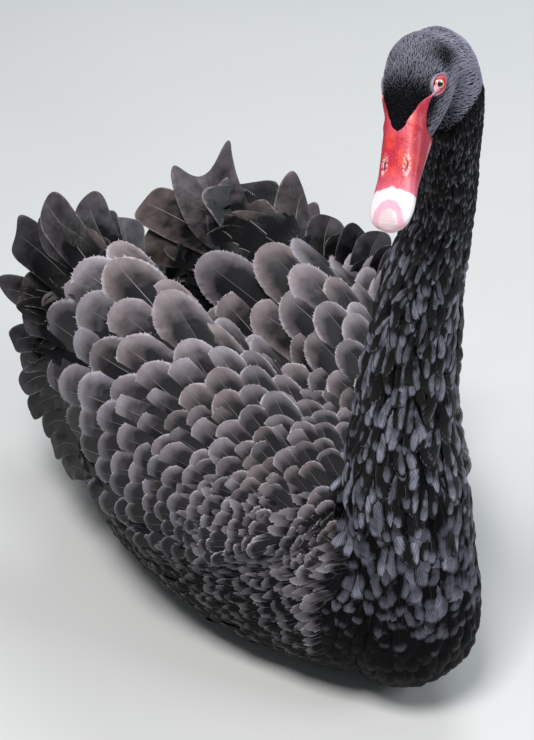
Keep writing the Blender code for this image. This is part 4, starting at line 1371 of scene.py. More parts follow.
@dataclass
class WingCoverts:
    """The overlapping scale-like feathers of one wing, in rows fanned from its bend."""

    skin: Skin
    wing: WingForm
    front: float = -0.178
    rear: float = 0.15
    # y, width of a feather
    widths: Profile = Profile(
        (-0.176, 0.0135), (-0.12, 0.0195), (-0.06, 0.0285), (0.0, 0.038),
        (0.05, 0.046), (0.1, 0.05), (0.15, 0.048),
    )
    # degrees across the wing, degrees that feathers there fan downwards
    fan: Profile = Profile((0.0, -8.0), (35.0, 5.0), (65.0, 20.0), (105.0, 36.0))
    rear_fan: float = 0.55
    fan_narrows: Pair = (0.0, 0.16)
    # degrees where the back ends and the side begins, and how far ahead the back's sizes run
    back: Pair = (30.0, 62.0)
    back_ahead: float = 0.05
    overlap: float = 0.72
    # y where the spacing and length of the small feathers give way to those of the broad ones
    growth: Pair = (-0.1, 0.08)
    row_shares: Pair = (0.52, 0.95)
    length_shares: Pair = (1.8, 2.3)
    broad_from: float = 0.02
    below_edge: float = 4.0
    # raised feathers along the crest: y, degrees, height
    crest_y: Row = (-0.09, -0.02, 0.1, 0.15)
    crest_degrees: Row = (34.0, 50.0, 56.0, 64.0)
    crest_height: float = 0.0
    side_narrow: float = 0.2
    # share of a feather's length that lies before its place, and its length beside the neck
    root_share: float = 0.35
    neck_share: float = 0.65
    # degrees across the wing, y of the last feather there
    rear_edge: Profile = Profile((0.0, 0.045), (8.0, 0.06), (16.0, 0.15))
    steps: int = 7

    def turn(self, y: float, degrees: float) -> float:
        """The fan's angle in radians."""
        rear = 1 - (1 - self.rear_fan) * ease(*self.fan_narrows, y)
        return radians(self.fan.at(degrees) * rear)

    def width(self, y: float, degrees: float) -> float:
        """A feather's width; large on the back, small along the wing's lower edge."""
        width = self.widths.at(y + self.back_ahead * (1 - ease(*self.back, degrees)))
        return width * (1 - self.side_narrow * ease(62.0, 94.0, degrees))

    def ground(self, y: float, degrees: float) -> Vector:
        """A place on the wing, or on the body in front of it."""
        if y < self.wing.stations.x[0]:
            body = self.wing.torso.point(y, radians(degrees))
            return Vector((self.wing.side * body.x, y, body.z))
        return self.wing.point(y, degrees)

    def build(self) -> tuple[Coat, Coat]:
        """Lays the small feathers in front and the broad ones behind."""
        side, wing = self.wing.side, self.wing.stations
        draw = random.Random(21 + side)
        small = VaneForm(base=0.45, widest=0.66, tip_steps=17, fringe=0.09, camber=0.34)
        broad = VaneForm(base=0.45, widest=0.7, side_steps=6, tip_steps=36, barb_steps=3, fringe=0.035,
                         roundness=2.1, camber=0.34, thickness=0.0006)
        coats = Coat(small, 3 + side, 0.006, (0.6, 1.3)), Coat(broad, 5 + side, 0.02, (0.6, 1.3))
        low, high = self.row_shares
        y, row = self.front, 0
        while y < self.rear:
            degrees = self.wing.crest_degrees(max(y, -0.15), wing.at(y, 3) + 0.0005)
            degrees += (row % 2) * 0.5 * self.pitch(y, degrees)
            while degrees < wing.at(y, 2) + self.below_edge:
                if y < self.rear_edge.at(degrees):
                    self.feather(coats, y, degrees, draw)
                degrees += self.pitch(y, degrees)
            y += self.widths.at(y) * (low + (high - low) * ease(*self.growth, y))
            row += 1
        return coats

    def pitch(self, y: float, degrees: float) -> float:
        """Degrees from one feather to the next in a row."""
        return in_degrees(self.overlap * self.width(y, degrees) / self.wing.reach)

    def on_neck(self, place: Vector) -> bool:
        """Whether a place belongs to the neck."""
        return self.skin.region(self.skin.nearest(place)[0])[0] is Region.COLUMN

    def feather(self, coats: tuple[Coat, Coat], y: float, degrees: float, draw: random.Random) -> None:
        """Lays one feather.

        Args:
            coats: The small feathers and the broad ones.
            y: Its place along the wing.
            degrees: Its place across the wing.
            draw: The seeded draw.
        """
        vary, side = draw.uniform, self.wing.side
        width = self.width(y, degrees) * vary(0.92, 1.1)
        y += vary(-0.12, 0.12) * width
        degrees += vary(-0.08, 0.08) * in_degrees(width / self.wing.reach)
        back = 1 - ease(*self.back, degrees)
        turn = self.turn(y, degrees) + radians(vary(-6, 6))
        ground = self.ground(y, degrees)
        beside = self.ground(y, degrees + 2.0) - ground
        heading = Vector((0, 1, 0)) * cos(turn) + beside.normalized() * sin(turn)
        short, long = self.length_shares
        share = short + (long - short) * ease(*self.growth, y)
        length = width * share * vary(0.95, 1.12) * (1 + 0.12 * back)
        rise = (0.07 * width + 0.0018) * (1 + 1.6 * (1 - ease(12.0, 38.0, degrees)))
        heights = lifts(-0.0008, rise * vary(0.8, 1.25), self.steps, 0.03 * width * vary(0, 1.6))
        raised = self.crest_height * plateau(self.crest_y, y) * plateau(self.crest_degrees, degrees)
        heights = [height + raised * t**1.6 for height, t in zip(heights, spread(self.steps))]
        root = ground - heading * self.root_share * length
        if self.on_neck(root):
            root, length = ground, self.neck_share * length
            if self.on_neck(root):
                return
        line = self.skin.lay(root, heading, length, heights)
        # painted shade: darker on the wing's lower side and on its rear lower border, and the fringe less
        # pale low on the side
        border = ease(48.0, 60.0, degrees) * ease(0.05, 0.11, y)
        grey = 0.26 + 0.3 * ease(-0.13, 0.03, y) - 0.5 * max(border, ease(62, 88, degrees))
        coats[width > self.broad_from].add(
            line, width, (0.5 + side * degrees / 260.0, (y + 0.2) / 0.7), roll=-side * radians(vary(4, 11)),
            cup=vary(-0.08, 0.16), wave=vary(0, 0.035), skew=vary(-0.12, 0.12), tone=grey + vary(-0.18, 0.18),
            warm=0.2 + 0.45 * back + vary(-0.35, 0.35),
            pale=0.62 + vary(-0.3, 0.3) - 0.3 * ease(70, 95, degrees))


@dataclass(frozen=True)
class Plume:
    """One curled feather at the rear of a wing."""

    root_y: float
    root_degrees: float
    # distance from the midline, y, z
    tip: tuple[float, float, float]
    width: float
    warm: float
    tone: float
    horn: float = 0.0
    skew: float = 0.0
    turn: float = 0.0
    curl: float = 0.0
    # height of its middle over the straight way
    lift: float = 0.006


@dataclass
class Plumes:
    """The curled feathers at the rear of one wing, each with shorter ones behind it."""

    wing: WingForm
    rows: tuple[Plume, ...]
    companions: int = 1
    steps: int = 7
    sink: float = 0.006
    bend: float = 0.6
    facing: Vector = fixed(-0.32, -0.6, 0.74)
    face_share: float = 0.75
    behind: Pair = (0.62, 0.86)
    step_back: float = 0.01

    def build(self, coat: Coat) -> None:
        """Adds the plumes to a coat.

        Args:
            coat: Where the feathers go.
        """
        draw = random.Random(51 + self.wing.side)
        for plume in self.rows:
            self.lay(coat, plume, 1.0, 0.0, draw)
            for _ in range(self.companions):
                share = draw.uniform(*self.behind)
                self.lay(coat, plume, share, draw.choice((-1, 1)) * draw.uniform(0.25, 0.6), draw)

    def lay(self, coat: Coat, plume: Plume, share: float, aside: float, draw: random.Random) -> None:
        """Lays one feather.

        Args:
            coat: Where it goes.
            plume: Its measures.
            share: Its length as a share of the plume's.
            aside: How far its tip stands beside the plume's, in widths.
            draw: The seeded draw.
        """
        side, vary = self.wing.side, draw.uniform
        off = self.wing.normal(plume.root_y, plume.root_degrees)
        facing = self.face_share * (1 - 0.6 * ease(58.0, 80.0, plume.root_degrees))
        normal = off.lerp(self.facing, facing).normalized()
        root = self.wing.point(plume.root_y, plume.root_degrees) - off * self.sink
        tip = Vector((side * plume.tip[0], plume.tip[1], plume.tip[2]))
        across = (tip - root).cross(normal).normalized()
        hidden = 0.0 if share == 1.0 else 1.0
        tip = root + (tip - root) * share + across * plume.width * aside - normal * self.step_back * hidden
        behind = self.wing.point(plume.root_y + self.wing.feel[0], plume.root_degrees)
        back = (behind - root - off * self.sink).normalized()
        span = (tip - root).length
        middle = root + back * span * self.bend + normal * plume.lift
        path = []
        for t in spread(self.steps):
            point = root * (1 - t) ** 2 + middle * 2 * t * (1 - t) + tip * t**2
            path.append(point + normal * plume.curl * span * t**4)
        home = 0.5 + side * plume.root_degrees / 260.0, (plume.root_y + 0.25 + vary(0, 0.02)) / 0.7
        # the shorter feathers behind a plume are painted darker by 0.15: painted shade
        coat.add((path, [normal] * self.steps), plume.width * (1.0 - 0.1 * hidden), home,
                 twist=radians(plume.turn + vary(-8, 8)), cup=vary(-0.15, 0.35), wave=vary(0.04, 0.13),
                 horn=plume.horn, skew=plume.skew + vary(-0.12, 0.12),
                 tone=plume.tone + vary(-0.15, 0.15) - 0.15 * hidden, warm=plume.warm, pale=vary(0.25, 0.8))


@dataclass
class NeckCoat:
    """Narrow pointed locks down the neck, turning to round scales over the breast."""

    skin: Skin
    # station, width, length, tip's height
    sizes: Profile = Profile(
        (0.0, 0.015, 0.02, 0.0012), (3.0, 0.017, 0.021, 0.002), (5.0, 0.0175, 0.024, 0.003),
        (7.0, 0.0165, 0.03, 0.0046), (9.0, 0.0145, 0.032, 0.0052), (11.5, 0.011, 0.028, 0.0042),
        (13.0, 0.0074, 0.02, 0.0028), (14.5, 0.004, 0.012, 0.0016), (16.5, 0.0024, 0.008, 0.0011),
        (18.0, 0.0018, 0.005, 0.0009),
    )
    # stations of the first and last row, of the velvet's edge and of the two pieces' border
    first: float = 0.6
    top: float = 18.4
    velvet_from: float = 14.0
    upper_from: float = 13.2
    # station below which the feathers are scales, and how much that wavers
    scales_below: float = 7.0
    border: float = 1.1
    overlap: float = 0.66
    row_share: float = 0.42
    reach: float = 0.012
    steps: int = 6
    front_y: float = -0.187
    front_spacing: float = 0.0078
    front_size: Pair = (0.0155, 0.022)
    front_rise: float = 0.0026
    # heights between which the painted shade of the low breast gives way to painted light
    painted_light_from: Pair = (0.08, 0.15)

    def build(self) -> dict[str, Coat]:
        """Lays the locks of the neck, in two pieces, and the scales of the breast."""
        column = self.skin.column
        lock = VaneForm(base=0.55, widest=0.58, roundness=1.9, side_steps=2, tip_steps=6, camber=0.9,
                        fringe=0.04, thickness=0.0009, aspect=0.2)
        scale = VaneForm(base=0.7, widest=0.66, roundness=2.3, side_steps=2, tip_steps=9, camber=0.5,
                         fringe=0.04)
        lower, upper, scales = (Coat(form, seed, fray_scatter=(0.8, 1.2))
                                for form, seed in ((lock, 11), (lock, 10), (scale, 12)))
        draw = random.Random(31)
        vary = draw.uniform
        t, row = self.first, 0
        while t < self.top:
            width, length, height = self.sizes.row(t)
            count = max(8, round(tau * column.place(t)[1] / (width * self.overlap)))
            for k in range(count):
                angle = tau * (k + 0.5 * (row % 2) + vary(-0.22, 0.22)) / count
                at = t + vary(-0.16, 0.16)
                ground = column.point(at, angle)
                place, normal = self.skin.nearest(ground)
                if not self.covers(t, ground, place, normal):
                    continue
                down = column.down(at)
                sway = normal.cross(down) * draw.gauss(0, 0.16)
                rise = height * vary(0.6, 1.3)
                line = self.lay(place, down + sway, length * vary(0.75, 1.25), rise)
                # painted shade low on the breast, by height; the neck is also darker above station 12
                shade = self.shade(ground.z) * (1 - 0.32 * ease(12.0, 14.0, t))
                tone = 0.72 * shade + vary(-0.34, 0.3) * (0.3 + 0.7 * shade)
                loose = at > self.scales_below + vary(-self.border, self.border)
                coat = scales if not loose else upper if t > self.upper_from else lower
                coat.add(line, width * vary(0.85, 1.15), (angle / tau * 0.9 + 0.05, t / 19.0),
                         roll=radians(draw.gauss(0, 14 if loose else 5)),
                         twist=radians(draw.gauss(0, 24 if loose else 8)), tone=tone, warm=vary(0, 0.35),
                         pale=vary(0.05, 0.6) * (1.0 if loose else 0.5 * shade))
            gap = (column.place(min(t + 0.1, 19.9))[0] - column.place(t)[0]).length / 0.1
            t += length * self.row_share / max(gap, 0.01)
            row += 1
        self.front(scales, draw)
        return {"neck_locks_upper": upper, "neck_locks_lower": lower, "breast_scales": scales}

    def covers(self, t: float, ground: Vector, place: Vector, normal: Vector) -> bool:
        """Whether a lock grows at a place.

        Args:
            t: Its station on the column.
            ground: Its place on the column's own form.
            place: The nearest place on the skin.
            normal: The skin's way out there.

        Returns:
            Whether the place shows and lies below the velvet of the head.
        """
        if (ground - place).dot(normal) < 0 or (ground - place).length > self.reach:
            return False
        if self.skin.region(place)[0] not in (Region.COLUMN, Region.HEAD):
            return False
        local = self.skin.head.local(place)
        return t <= self.velvet_from or local.z <= self.skin.head.jaw(local.y)

    def lay(self, place: Vector, heading: Vector, length: float, rise: float) -> tuple[Line, Line]:
        """The line of a feather that bulges off the skin in its middle."""
        return self.skin.lay(place, heading, length, lifts(0.0, 0.45 * rise, self.steps, 0.0, 0.75 * rise))

    def shade(self, height: float) -> float:
        """How much painted light a feather has: none on the low breast, which is painted in shade, and full
        higher up.
        """
        return ease(*self.painted_light_from, height)

    def front(self, scales: Coat, draw: random.Random) -> None:
        """Scatters scales over the front of the torso beside the column.

        Args:
            scales: The coat that they join.
            draw: The seeded draw.
        """
        vary = draw.uniform
        width, length = self.front_size
        for place, _ in self.skin.scatter(self.front_spacing, draw, self.at_front):
            heading = Vector((0.3 * copysign(1.0, place.x), 0.25 + draw.gauss(0, 0.1), -1.0))
            rise = self.front_rise * vary(0.6, 1.3)
            line = self.lay(place, heading, length * vary(0.8, 1.2), rise)
            # painted shade low on the breast, by height
            shade = self.shade(place.z)
            tone = 0.66 * shade + vary(-0.25, 0.25) * (0.3 + 0.7 * shade)
            scales.add(line, width * vary(0.85, 1.15), (0.5 + 4 * place.x, place.z / 2.0),
                       roll=radians(draw.gauss(0, 5)), tone=tone, warm=vary(0, 0.35),
                       pale=vary(0.0, 0.25) * shade)

    def at_front(self, place: Vector) -> bool:
        """Whether a place is on the torso's front, where the breast's scales run on."""
        return place.y < self.front_y and self.skin.region(place)[0] is Region.TORSO


@dataclass
class BodyCoat:
    """Soft loose feathers over flanks, belly, rump and the hollow between the wings."""

    skin: Skin
    spacing: float = 0.0055
    lengths: Pair = (0.022, 0.032)
    widths: Pair = (0.0095, 0.0135)
    rise: float = 0.0028
    # below this height they lie flat, by this share
    flat_below: float = 0.012
    flat: float = 0.3
    steps: int = 5
    pale_tuft: Vector = fixed(-0.068, -0.184, 0.101)
    tuft_reach: float = 0.01
    tuft_squash: float = 0.45
    wing_from: float = -0.085
    wing_above: float = 0.125
    quarter_y: float = 0.02

    def accept(self, place: Vector) -> bool:
        """Whether the body's own feathers cover a place."""
        region, _ = self.skin.region(place)
        if region is Region.TORSO and place.y < NeckCoat.front_y:
            return False
        uncovered = place.y < self.wing_from or place.z < self.wing_above
        return region in (Region.TORSO, Region.HOLLOW) or (region is Region.WING and uncovered)

    def tones(self, place: Vector) -> tuple[float, float, float]:
        """How much painted light, how much of the grey shoulder and how much of the pale tuft a place has."""
        # painted shade: darker towards the floor and in the hollow between the wings at the rear
        light = ease(0.01, 0.1, place.z) * (1 - ease(0.03, 0.08, place.y) * ease(0.14, 0.16, place.z))
        shoulder = ease(0.095, 0.15, place.z) * (1 - ease(-0.08, 0.02, place.y))
        away = place - self.pale_tuft
        away.z *= self.tuft_squash
        return light, shoulder, exp(-((away.length / self.tuft_reach) ** 2))

    def build(self) -> dict[str, Coat]:
        """Lays the feathers, in one piece for each quarter of the body."""
        draw = random.Random(41)
        vary = draw.uniform
        vane = VaneForm(base=0.5, widest=0.6, roundness=1.9, side_steps=2, tip_steps=5, barb_steps=1,
                        camber=0.25, fringe=0.14, fringe_from=0.2)
        quarters = ("front_left", "front_right", "rear_left", "rear_right")
        coats = {name: Coat(vane, 13 + 10 * k) for k, name in enumerate(quarters)}
        for place, _ in self.skin.scatter(self.spacing, draw, self.accept):
            front = ease(-0.1, -0.2, place.y)
            heading = Vector((0.35 * copysign(1.0, place.x) * front, 1.0, -0.25 - 0.5 * front))
            heading += shaken(draw, 0.12, 0.1, 0.12)
            length = vary(*self.lengths)
            rise = self.rise * (1.0 if place.z > self.flat_below else self.flat) * vary(0.6, 1.3)
            line = self.skin.lay(place, heading, length, lifts(0.0, 0.6 * rise, self.steps, 0.0, 0.5 * rise))
            light, shoulder, tuft = self.tones(place)
            angle = atan2(place.x, place.z - 0.11) / tau + 0.5
            end, side = "front" if place.y < self.quarter_y else "rear", "left" if place.x > 0 else "right"
            coats[f"{end}_{side}"].add(
                line, vary(*self.widths), (0.05 + 0.9 * angle, (place.y + 0.25) / 0.6),
                roll=radians(draw.gauss(0, 9)), twist=radians(draw.gauss(0, 10)),
                tone=0.5 * light + 0.45 * shoulder + tuft + vary(-0.2, 0.2) * light,
                warm=vary(0, 0.5), pale=vary(0.1, 0.7) * light + tuft)
        return coats


@dataclass
class HeadCoat:
    """The velvet of the head: very small tufts that lie back from the bill."""

    skin: Skin
    bare: "BareSkin"
    spacing: float = 0.00076
    # spacing, length, rise and width of the tufts on the forehead's point
    point_step: float = 0.0005
    point_size: tuple[float, float, float] = (0.0024, 0.0008, 0.0011)
    # length and rise of a tuft, and how much less they are on the face
    lengths: Pair = (0.0029, 0.0009)
    rises: Pair = (0.0007, 0.0002)
    widths: Pair = (0.0007, 0.001)
    steps: int = 3

    def accept(self, place: Vector) -> bool:
        """Whether a place is on the head or the top of the neck."""
        region, _ = self.skin.region(place)
        local = self.skin.head.local(place)
        above = place.z > 0.5 and local.z > self.skin.head.jaw(local.y) - 0.002
        return region is Region.HEAD or (region is Region.COLUMN and above)

    def tone(self, local: Vector) -> float:
        """How light the velvet is at a place in the head's axes.

        Args:
            local: The place.

        Returns:
            0 for black, 1 for its lightest grey.
        """
        f, l, u = local
        side = ease(0.005, 0.014, abs(l))
        dark_face = ease(-0.006, 0.024, f)
        # the cheek is painted lighter: partly the cheek's own grey, partly painted light on a side that faces
        # away from the key lamp
        cheek = side * (1 - ease(-0.008, 0.006, u))
        behind = side * (1 - ease(-0.028, -0.018, f))
        tone = 0.7 - 0.66 * dark_face * (1 - 0.55 * cheek) + max(0.42 * cheek, 0.15 * behind)
        band = side * exp(-(((u - 0.01) / 0.01) ** 2)) * plateau((-0.034, -0.02, -0.014, -0.004), f)
        ear = exp(-(((f + 0.0333) / 0.005) ** 2 + ((u + 0.0112) / 0.006) ** 2))
        # painted shadow under the jaw's edge, where the head shades the neck
        edge = self.skin.head.jaw(l)
        below = 1 - ease(edge - 0.001, edge + 0.002, u)
        return (tone - 0.52 * band + 0.45 * ear) * (1 - 0.85 * below)

    def heading(self, local: Vector, down: Vector) -> Vector:
        """The way the velvet lies: back from the bill, and down where the neck begins.

        Args:
            local: The place in the head's axes.
            down: The way down the neck there.

        Returns:
            The way that a tuft points.
        """
        back = ease(-0.012, -0.036, local.x)
        low = ease(-0.016, -0.03, local.z)
        turned = max(back * (0.45 + 0.55 * ease(-0.03, -0.01, local.z)), 0.3 * low)
        return -self.skin.head.forward * (1 - turned) + down * turned

    def build(self) -> Coat:
        """Lays the tufts."""
        draw = random.Random(61)
        vary, head, column = draw.uniform, self.skin.head, self.skin.column
        coat = Coat(TuftForm(), 14)
        length, rise, width = self.point_size
        for place, normal in self.bare.forehead_places(self.point_step):
            away = -head.forward + shaken(draw, 0.1, 0.1, 0.1)
            line = [place + away * length * t + normal * rise * t for t in spread(self.steps)]
            coat.add((line, [normal] * self.steps), width, (0.5, 0.9), tone=vary(0.0, 0.12))
        for place, _ in self.skin.scatter(self.spacing, draw, self.accept):
            local = head.local(place)
            if self.bare.covers(local):
                continue
            heading = self.heading(local, column.down(min(column.nearest(place), 17.5)))
            heading += shaken(draw, 0.07, 0.07, 0.07)
            face = ease(0.0, 0.03, local.x)
            edge = head.jaw(local.y)
            short = 1 - 0.55 * (1 - ease(edge, edge + 0.006, local.z))
            length = (self.lengths[0] - self.lengths[1] * face) * short * vary(0.8, 1.25)
            rise = (self.rises[0] - self.rises[1] * face) * vary(0.6, 1.5)
            line = self.skin.lay(place, heading, length, lifts(-0.0001, rise, self.steps))
            coat.add(line, vary(*self.widths), (0.5 + local.y / 0.08, 0.5 + local.x / 0.14),
                     tone=self.tone(local) + vary(-0.09, 0.09), warm=vary(0, 0.2), pale=0.0)
        return coat


@dataclass
class TailFeathers:
    """The tail: flat dark feathers spread in a fan, with coverts over their roots."""

    root: Vector = fixed(0.0, 0.24, 0.152)
    length: float = 0.108
    spread_angle: float = radians(27)
    # count, share of the length, height and width of each tier
    tiers: tuple[Row, ...] = ((15, 1.0, 0.0, 0.026), (13, 0.72, 0.0035, 0.024), (11, 0.5, 0.0065, 0.02))
    half_root: float = 0.025
    rise: float = 0.06
    droop: float = 0.006
    step: float = 0.0012
    rounding: float = 0.14
    roll: float = 0.25
    steps: int = 7

    def build(self) -> Coat:
        """Lays the feathers, the middle one on top."""
        draw = random.Random(71)
        vary = draw.uniform
        coat = Coat(VaneForm(base=0.5, widest=0.7, roundness=2.6, side_steps=6, tip_steps=12, barb_steps=3,
                             fringe=0.05, thickness=0.0008, aspect=0.12), 15, 0.02)
        for count, share, height, width in self.tiers:
            for k in range(count):
                across = 2 * k / (count - 1) - 1
                turn = self.spread_angle * across
                away = Vector((sin(turn), cos(turn), self.rise))
                rank = abs(across) * (count - 1) / 2
                start = self.root + Vector((self.half_root * across, -0.01, height - rank * self.step))
                length = self.length * share * (1 - self.rounding * across**2) * vary(0.96, 1.02)
                path = [start + away * length * t - Vector((0, 0, self.droop * t * t * share))
                        for t in spread(self.steps)]
                tilt = Vector((self.roll * across, 0, 1)).normalized()
                coat.add((path, [tilt] * self.steps), width, (0.5 + 0.4 * across, 0.2 + 0.3 * share),
                         cup=vary(0, 0.15), wave=vary(0, 0.05), tone=vary(0.1, 0.5), warm=vary(0, 0.4),
                         pale=vary(0.2, 0.5))
        return coat


# Head


@dataclass
class BareSkin:
    """The bare red strips from the bill to each eye."""

    head: HeadForm
    bill: "Bill"
    # forward, distance from the midline of the forehead feathers' edge
    forehead: Profile = Profile(
        (0.006, 0.0196), (0.0109, 0.0188), (0.0164, 0.016), (0.0236, 0.0116),
        (0.0322, 0.007), (0.0374, 0.0038), (0.0398, 0.0),
    )
    # forward, height of the cheek feathers' edge
    cheek: Profile = Profile(
        (0.006, 0.0062), (0.009, 0.008), (0.0132, 0.009), (0.0184, 0.008),
        (0.0234, 0.0054), (0.0282, 0.0006), (0.0316, -0.0048), (0.0345, -0.0125),
    )
    eye: Pair = (0.003, 0.0078)
    eye_reach: Pair = (0.0072, 0.0058)
    joins_bill: Pair = (0.02, 0.0335)
    front: float = 0.0385
    proud: float = 0.0003
    puff: float = 0.0006
    margin: float = 0.05
    inset: float = 0.0002
    sunk: float = 0.0009
    root: float = 0.0022
    rings: int = 30
    sides: int = 12

    def covers(self, local: Vector) -> bool:
        """Whether a place in the head's axes is bare: a strip or the eye.

        Args:
            local: The place.

        Returns:
            Whether no velvet grows there.
        """
        f, l, u = local.x, abs(local.y), local.z
        along = (f - self.eye[0]) / self.eye_reach[0]
        rise = (u - self.eye[1]) / self.eye_reach[1]
        if l > 0.01 and along**2 + rise**2 < 1:
            return True
        below = u <= self.cheek.at(f) + self.inset
        return f >= self.forehead.x[0] and l > self.forehead.at(f) - self.inset and not below

    def section(self, f: float) -> Row:
        """Half width, top, underside and fullness of the ground, from skull to bill."""
        share = ease(*self.joins_bill, f)
        skull, horn = self.head.stations.row(f), self.bill.upper.row(f)
        mixed = [a + (b - a) * share for a, b in zip(skull, horn)]
        fullness = self.head.fullness + (self.bill.fullness - self.head.fullness) * share
        return *mixed, fullness

    def point(self, f: float, angle: float, grow: float) -> Vector:
        """A place on the ground; angle 0 is the top."""
        width, top, low, fullness = self.section(f)
        y, z = superellipse(angle, width + grow, 0.5 * (top + low), low - grow, top + grow, fullness)
        return self.head.place(f, y, z)

    def angles(self, f: float) -> Pair:
        """Angles round the head of the strip's upper and lower edges.

        Args:
            f: How far forward.

        Returns:
            Both, in radians.
        """
        width, top, low, fullness = self.section(f)
        upper = asin(min(1.0, (max(0.0, self.forehead.at(f)) / width) ** (fullness / 2)))
        middle = 0.5 * (top + low)
        share = (self.cheek.at(f) - middle) / (top - middle)
        lower = acos(power(max(-1.0, min(1.0, share)), fullness / 2))
        return upper, lower

    def build(self) -> Piece:
        """Makes both strips as one closed piece."""
        bm = bmesh.new()
        for side in (1, -1):
            rings = []
            for f in spread(self.rings, self.forehead.x[0], self.front):
                upper, lower = self.angles(f)
                sunk = self.sunk * ease(self.joins_bill[1] - 0.001, self.front, f)
                upper = max(0.0, upper - self.margin)
                angles = spread(self.sides, upper, max(lower + self.margin, upper + 0.05))
                ring = []
                for k, angle in enumerate(angles):
                    swell = self.proud + self.puff * sin(pi * k / (self.sides - 1)) - sunk
                    ring.append(self.point(f, side * angle, swell))
                ring += [self.point(f, side * angle, -self.root) for angle in reversed(angles)]
                rings.append(ring)
            loft(bm, rings)
        strips = finished(bm, "bare_strips")
        strips.data.materials.append(BillFinish(self.head, "bare_strip_skin", coat=0.08).material())
        return strips

    def forehead_places(self, step: float) -> list[tuple[Vector, Vector]]:
        """Places for the forehead's feathers where they run out over the bill in a point.

        Args:
            step: Distance from one to the next.

        Returns:
            Places on the bill with their outward directions.
        """
        places = []
        f = self.joins_bill[1] - 0.0045
        while f < self.forehead.x[-1]:
            half = self.forehead.at(f)
            count = max(1, round(2 * half / step))
            for k in range(count):
                l = half * ((2 * k + 1) / count - 1)
                width, _, _, fullness = self.section(f)
                angle = copysign(asin(min(1.0, (abs(l) / width) ** (fullness / 2))), l)
                place = self.point(f, angle, 0.0)
                places.append((place, (self.point(f, angle, 0.001) - place).normalized()))
            f += step
        return places


@dataclass
class EyePair:
    """Both eyes with their lids."""

    head: HeadForm
    centre: tuple[float, float, float] = (0.001, 0.017, 0.0062)
    gaze: tuple[float, float, float] = (0.45, 0.8, 0.38)
    radius: float = 0.0058
    cornea: float = 0.07
    # forward and up in the head's axes
    middle: Pair = (0.0032, 0.0079)
    opening: Pair = (0.0037, 0.0036)
    outer: Pair = (0.0072, 0.006)
    corners: Pair = (0.0016, 0.0026)
    # share from the opening to the outer edge, height over the ground, redness, greyness
    fold: tuple[Row, ...] = (
        (0.0, -0.0008, 1.0, 0.0), (0.04, 0.0005, 0.95, 0.0), (0.25, 0.001, 0.45, 0.0),
        (0.45, 0.0009, 0.55, 0.1), (0.62, 0.0005, 0.6, 0.5), (0.8, 0.001, 0.1, 0.9),
        (0.95, 0.0006, 0.05, 1.0), (1.15, -0.0016, 0.05, 1.0),
    )
    sides: int = 56
    red: Colour = (0.42, 0.018, 0.03)
    pink: Colour = (0.56, 0.14, 0.17)
    grey: Colour = (0.17, 0.155, 0.205)

    def frame(self, side: int) -> tuple[Vector, Vector]:
        """The eye's centre and the way it looks."""
        head = self.head
        centre = head.place(self.centre[0], side * self.centre[1], self.centre[2])
        f, l, u = self.gaze
        gaze = (head.forward * f + head.left * l * side + head.up * u).normalized()
        return centre, gaze

    def eyeball(self, side: int) -> Piece:
        """One eyeball with a bulged cornea.

        Args:
            side: 1 for the left, -1 for the right.

        Returns:
            The new piece.
        """
        centre, gaze = self.frame(side)
        bm = bmesh.new()
        place = Matrix.Translation(centre) @ gaze.to_track_quat("Z", "Y").to_matrix().to_4x4()
        bmesh.ops.create_uvsphere(bm, u_segments=48, v_segments=40, radius=self.radius, matrix=place)
        for vert in bm.verts:
            spoke = vert.co - centre
            bulge = ease(0.72, 0.95, spoke.normalized().dot(gaze))
            vert.co = centre + spoke * (1 + self.cornea * bulge)
        name = "eye_left_ball" if side > 0 else "eye_right_ball"
        eye = finished(bm, name, 180.0)
        eye.data.materials.append(EyeFinish(f"{name}_wet", centre, gaze).material())
        return eye

    def ground(self, f: float, u: float) -> float:
        """How far out the lid lies at a place: over the eyeball, then over the skull.

        Args:
            f: How far forward the place is.
            u: How far up.

        Returns:
            Its distance from the head's middle.
        """
        reach = (f - self.centre[0]) ** 2 + (u - self.centre[2]) ** 2
        ball = self.centre[1] + sqrt(max(0.0, self.radius**2 - reach))
        skull = self.head.side(f, u)
        away = hypot((f - self.middle[0]) / self.outer[0], (u - self.middle[1]) / self.outer[1])
        share = ease(0.45, 1.0, away)
        return ball * (1 - share) + max(skull, ball * (1 - share)) * share

    def lids(self) -> Piece:
        """The lids of both eyes, as soft rings with a fold along their outer edge."""
        bm = bmesh.new()
        tint = bm.verts.layers.float_color.new("tint")
        shades = []
        for side in (1, -1):
            rings = []
            for share, height, red, grey in self.fold:
                ring = []
                for k in range(self.sides):
                    a = tau * k / self.sides
                    stretch = self.corners[0] * max(0.0, cos(a + 0.35)) ** 8
                    stretch += self.corners[1] * max(0.0, -cos(a - 0.15)) ** 10
                    long = self.opening[0] + (self.outer[0] - self.opening[0]) * share + stretch * share
                    tall = self.opening[1] + (self.outer[1] - self.opening[1]) * share
                    f, u = self.middle[0] + long * cos(a), self.middle[1] + tall * sin(a)
                    point = self.head.place(f, side * (self.ground(f, u) + height), u)
                    ring.append(point)
                    low = max(0.0, -sin(a))
                    shade = Vector(self.pink).lerp(Vector(self.red), min(1.0, red + 0.3 * low * red))
                    shades.append((point, shade.lerp(Vector(self.grey), grey * (1 - 0.55 * low))))
                rings.append(ring)
            loft(bm, rings, caps=False)
        for vert, (point, shade) in zip(bm.verts, shades):
            vert[tint] = (*shade, 1.0)
        lids = finished(bm, "eyelids")
        solid = lids.modifiers.new("thickness", "SOLIDIFY")
        solid.thickness = 0.0005
        solid.offset = -1.0
        lids.data.materials.append(LidFinish().material())
        return lids


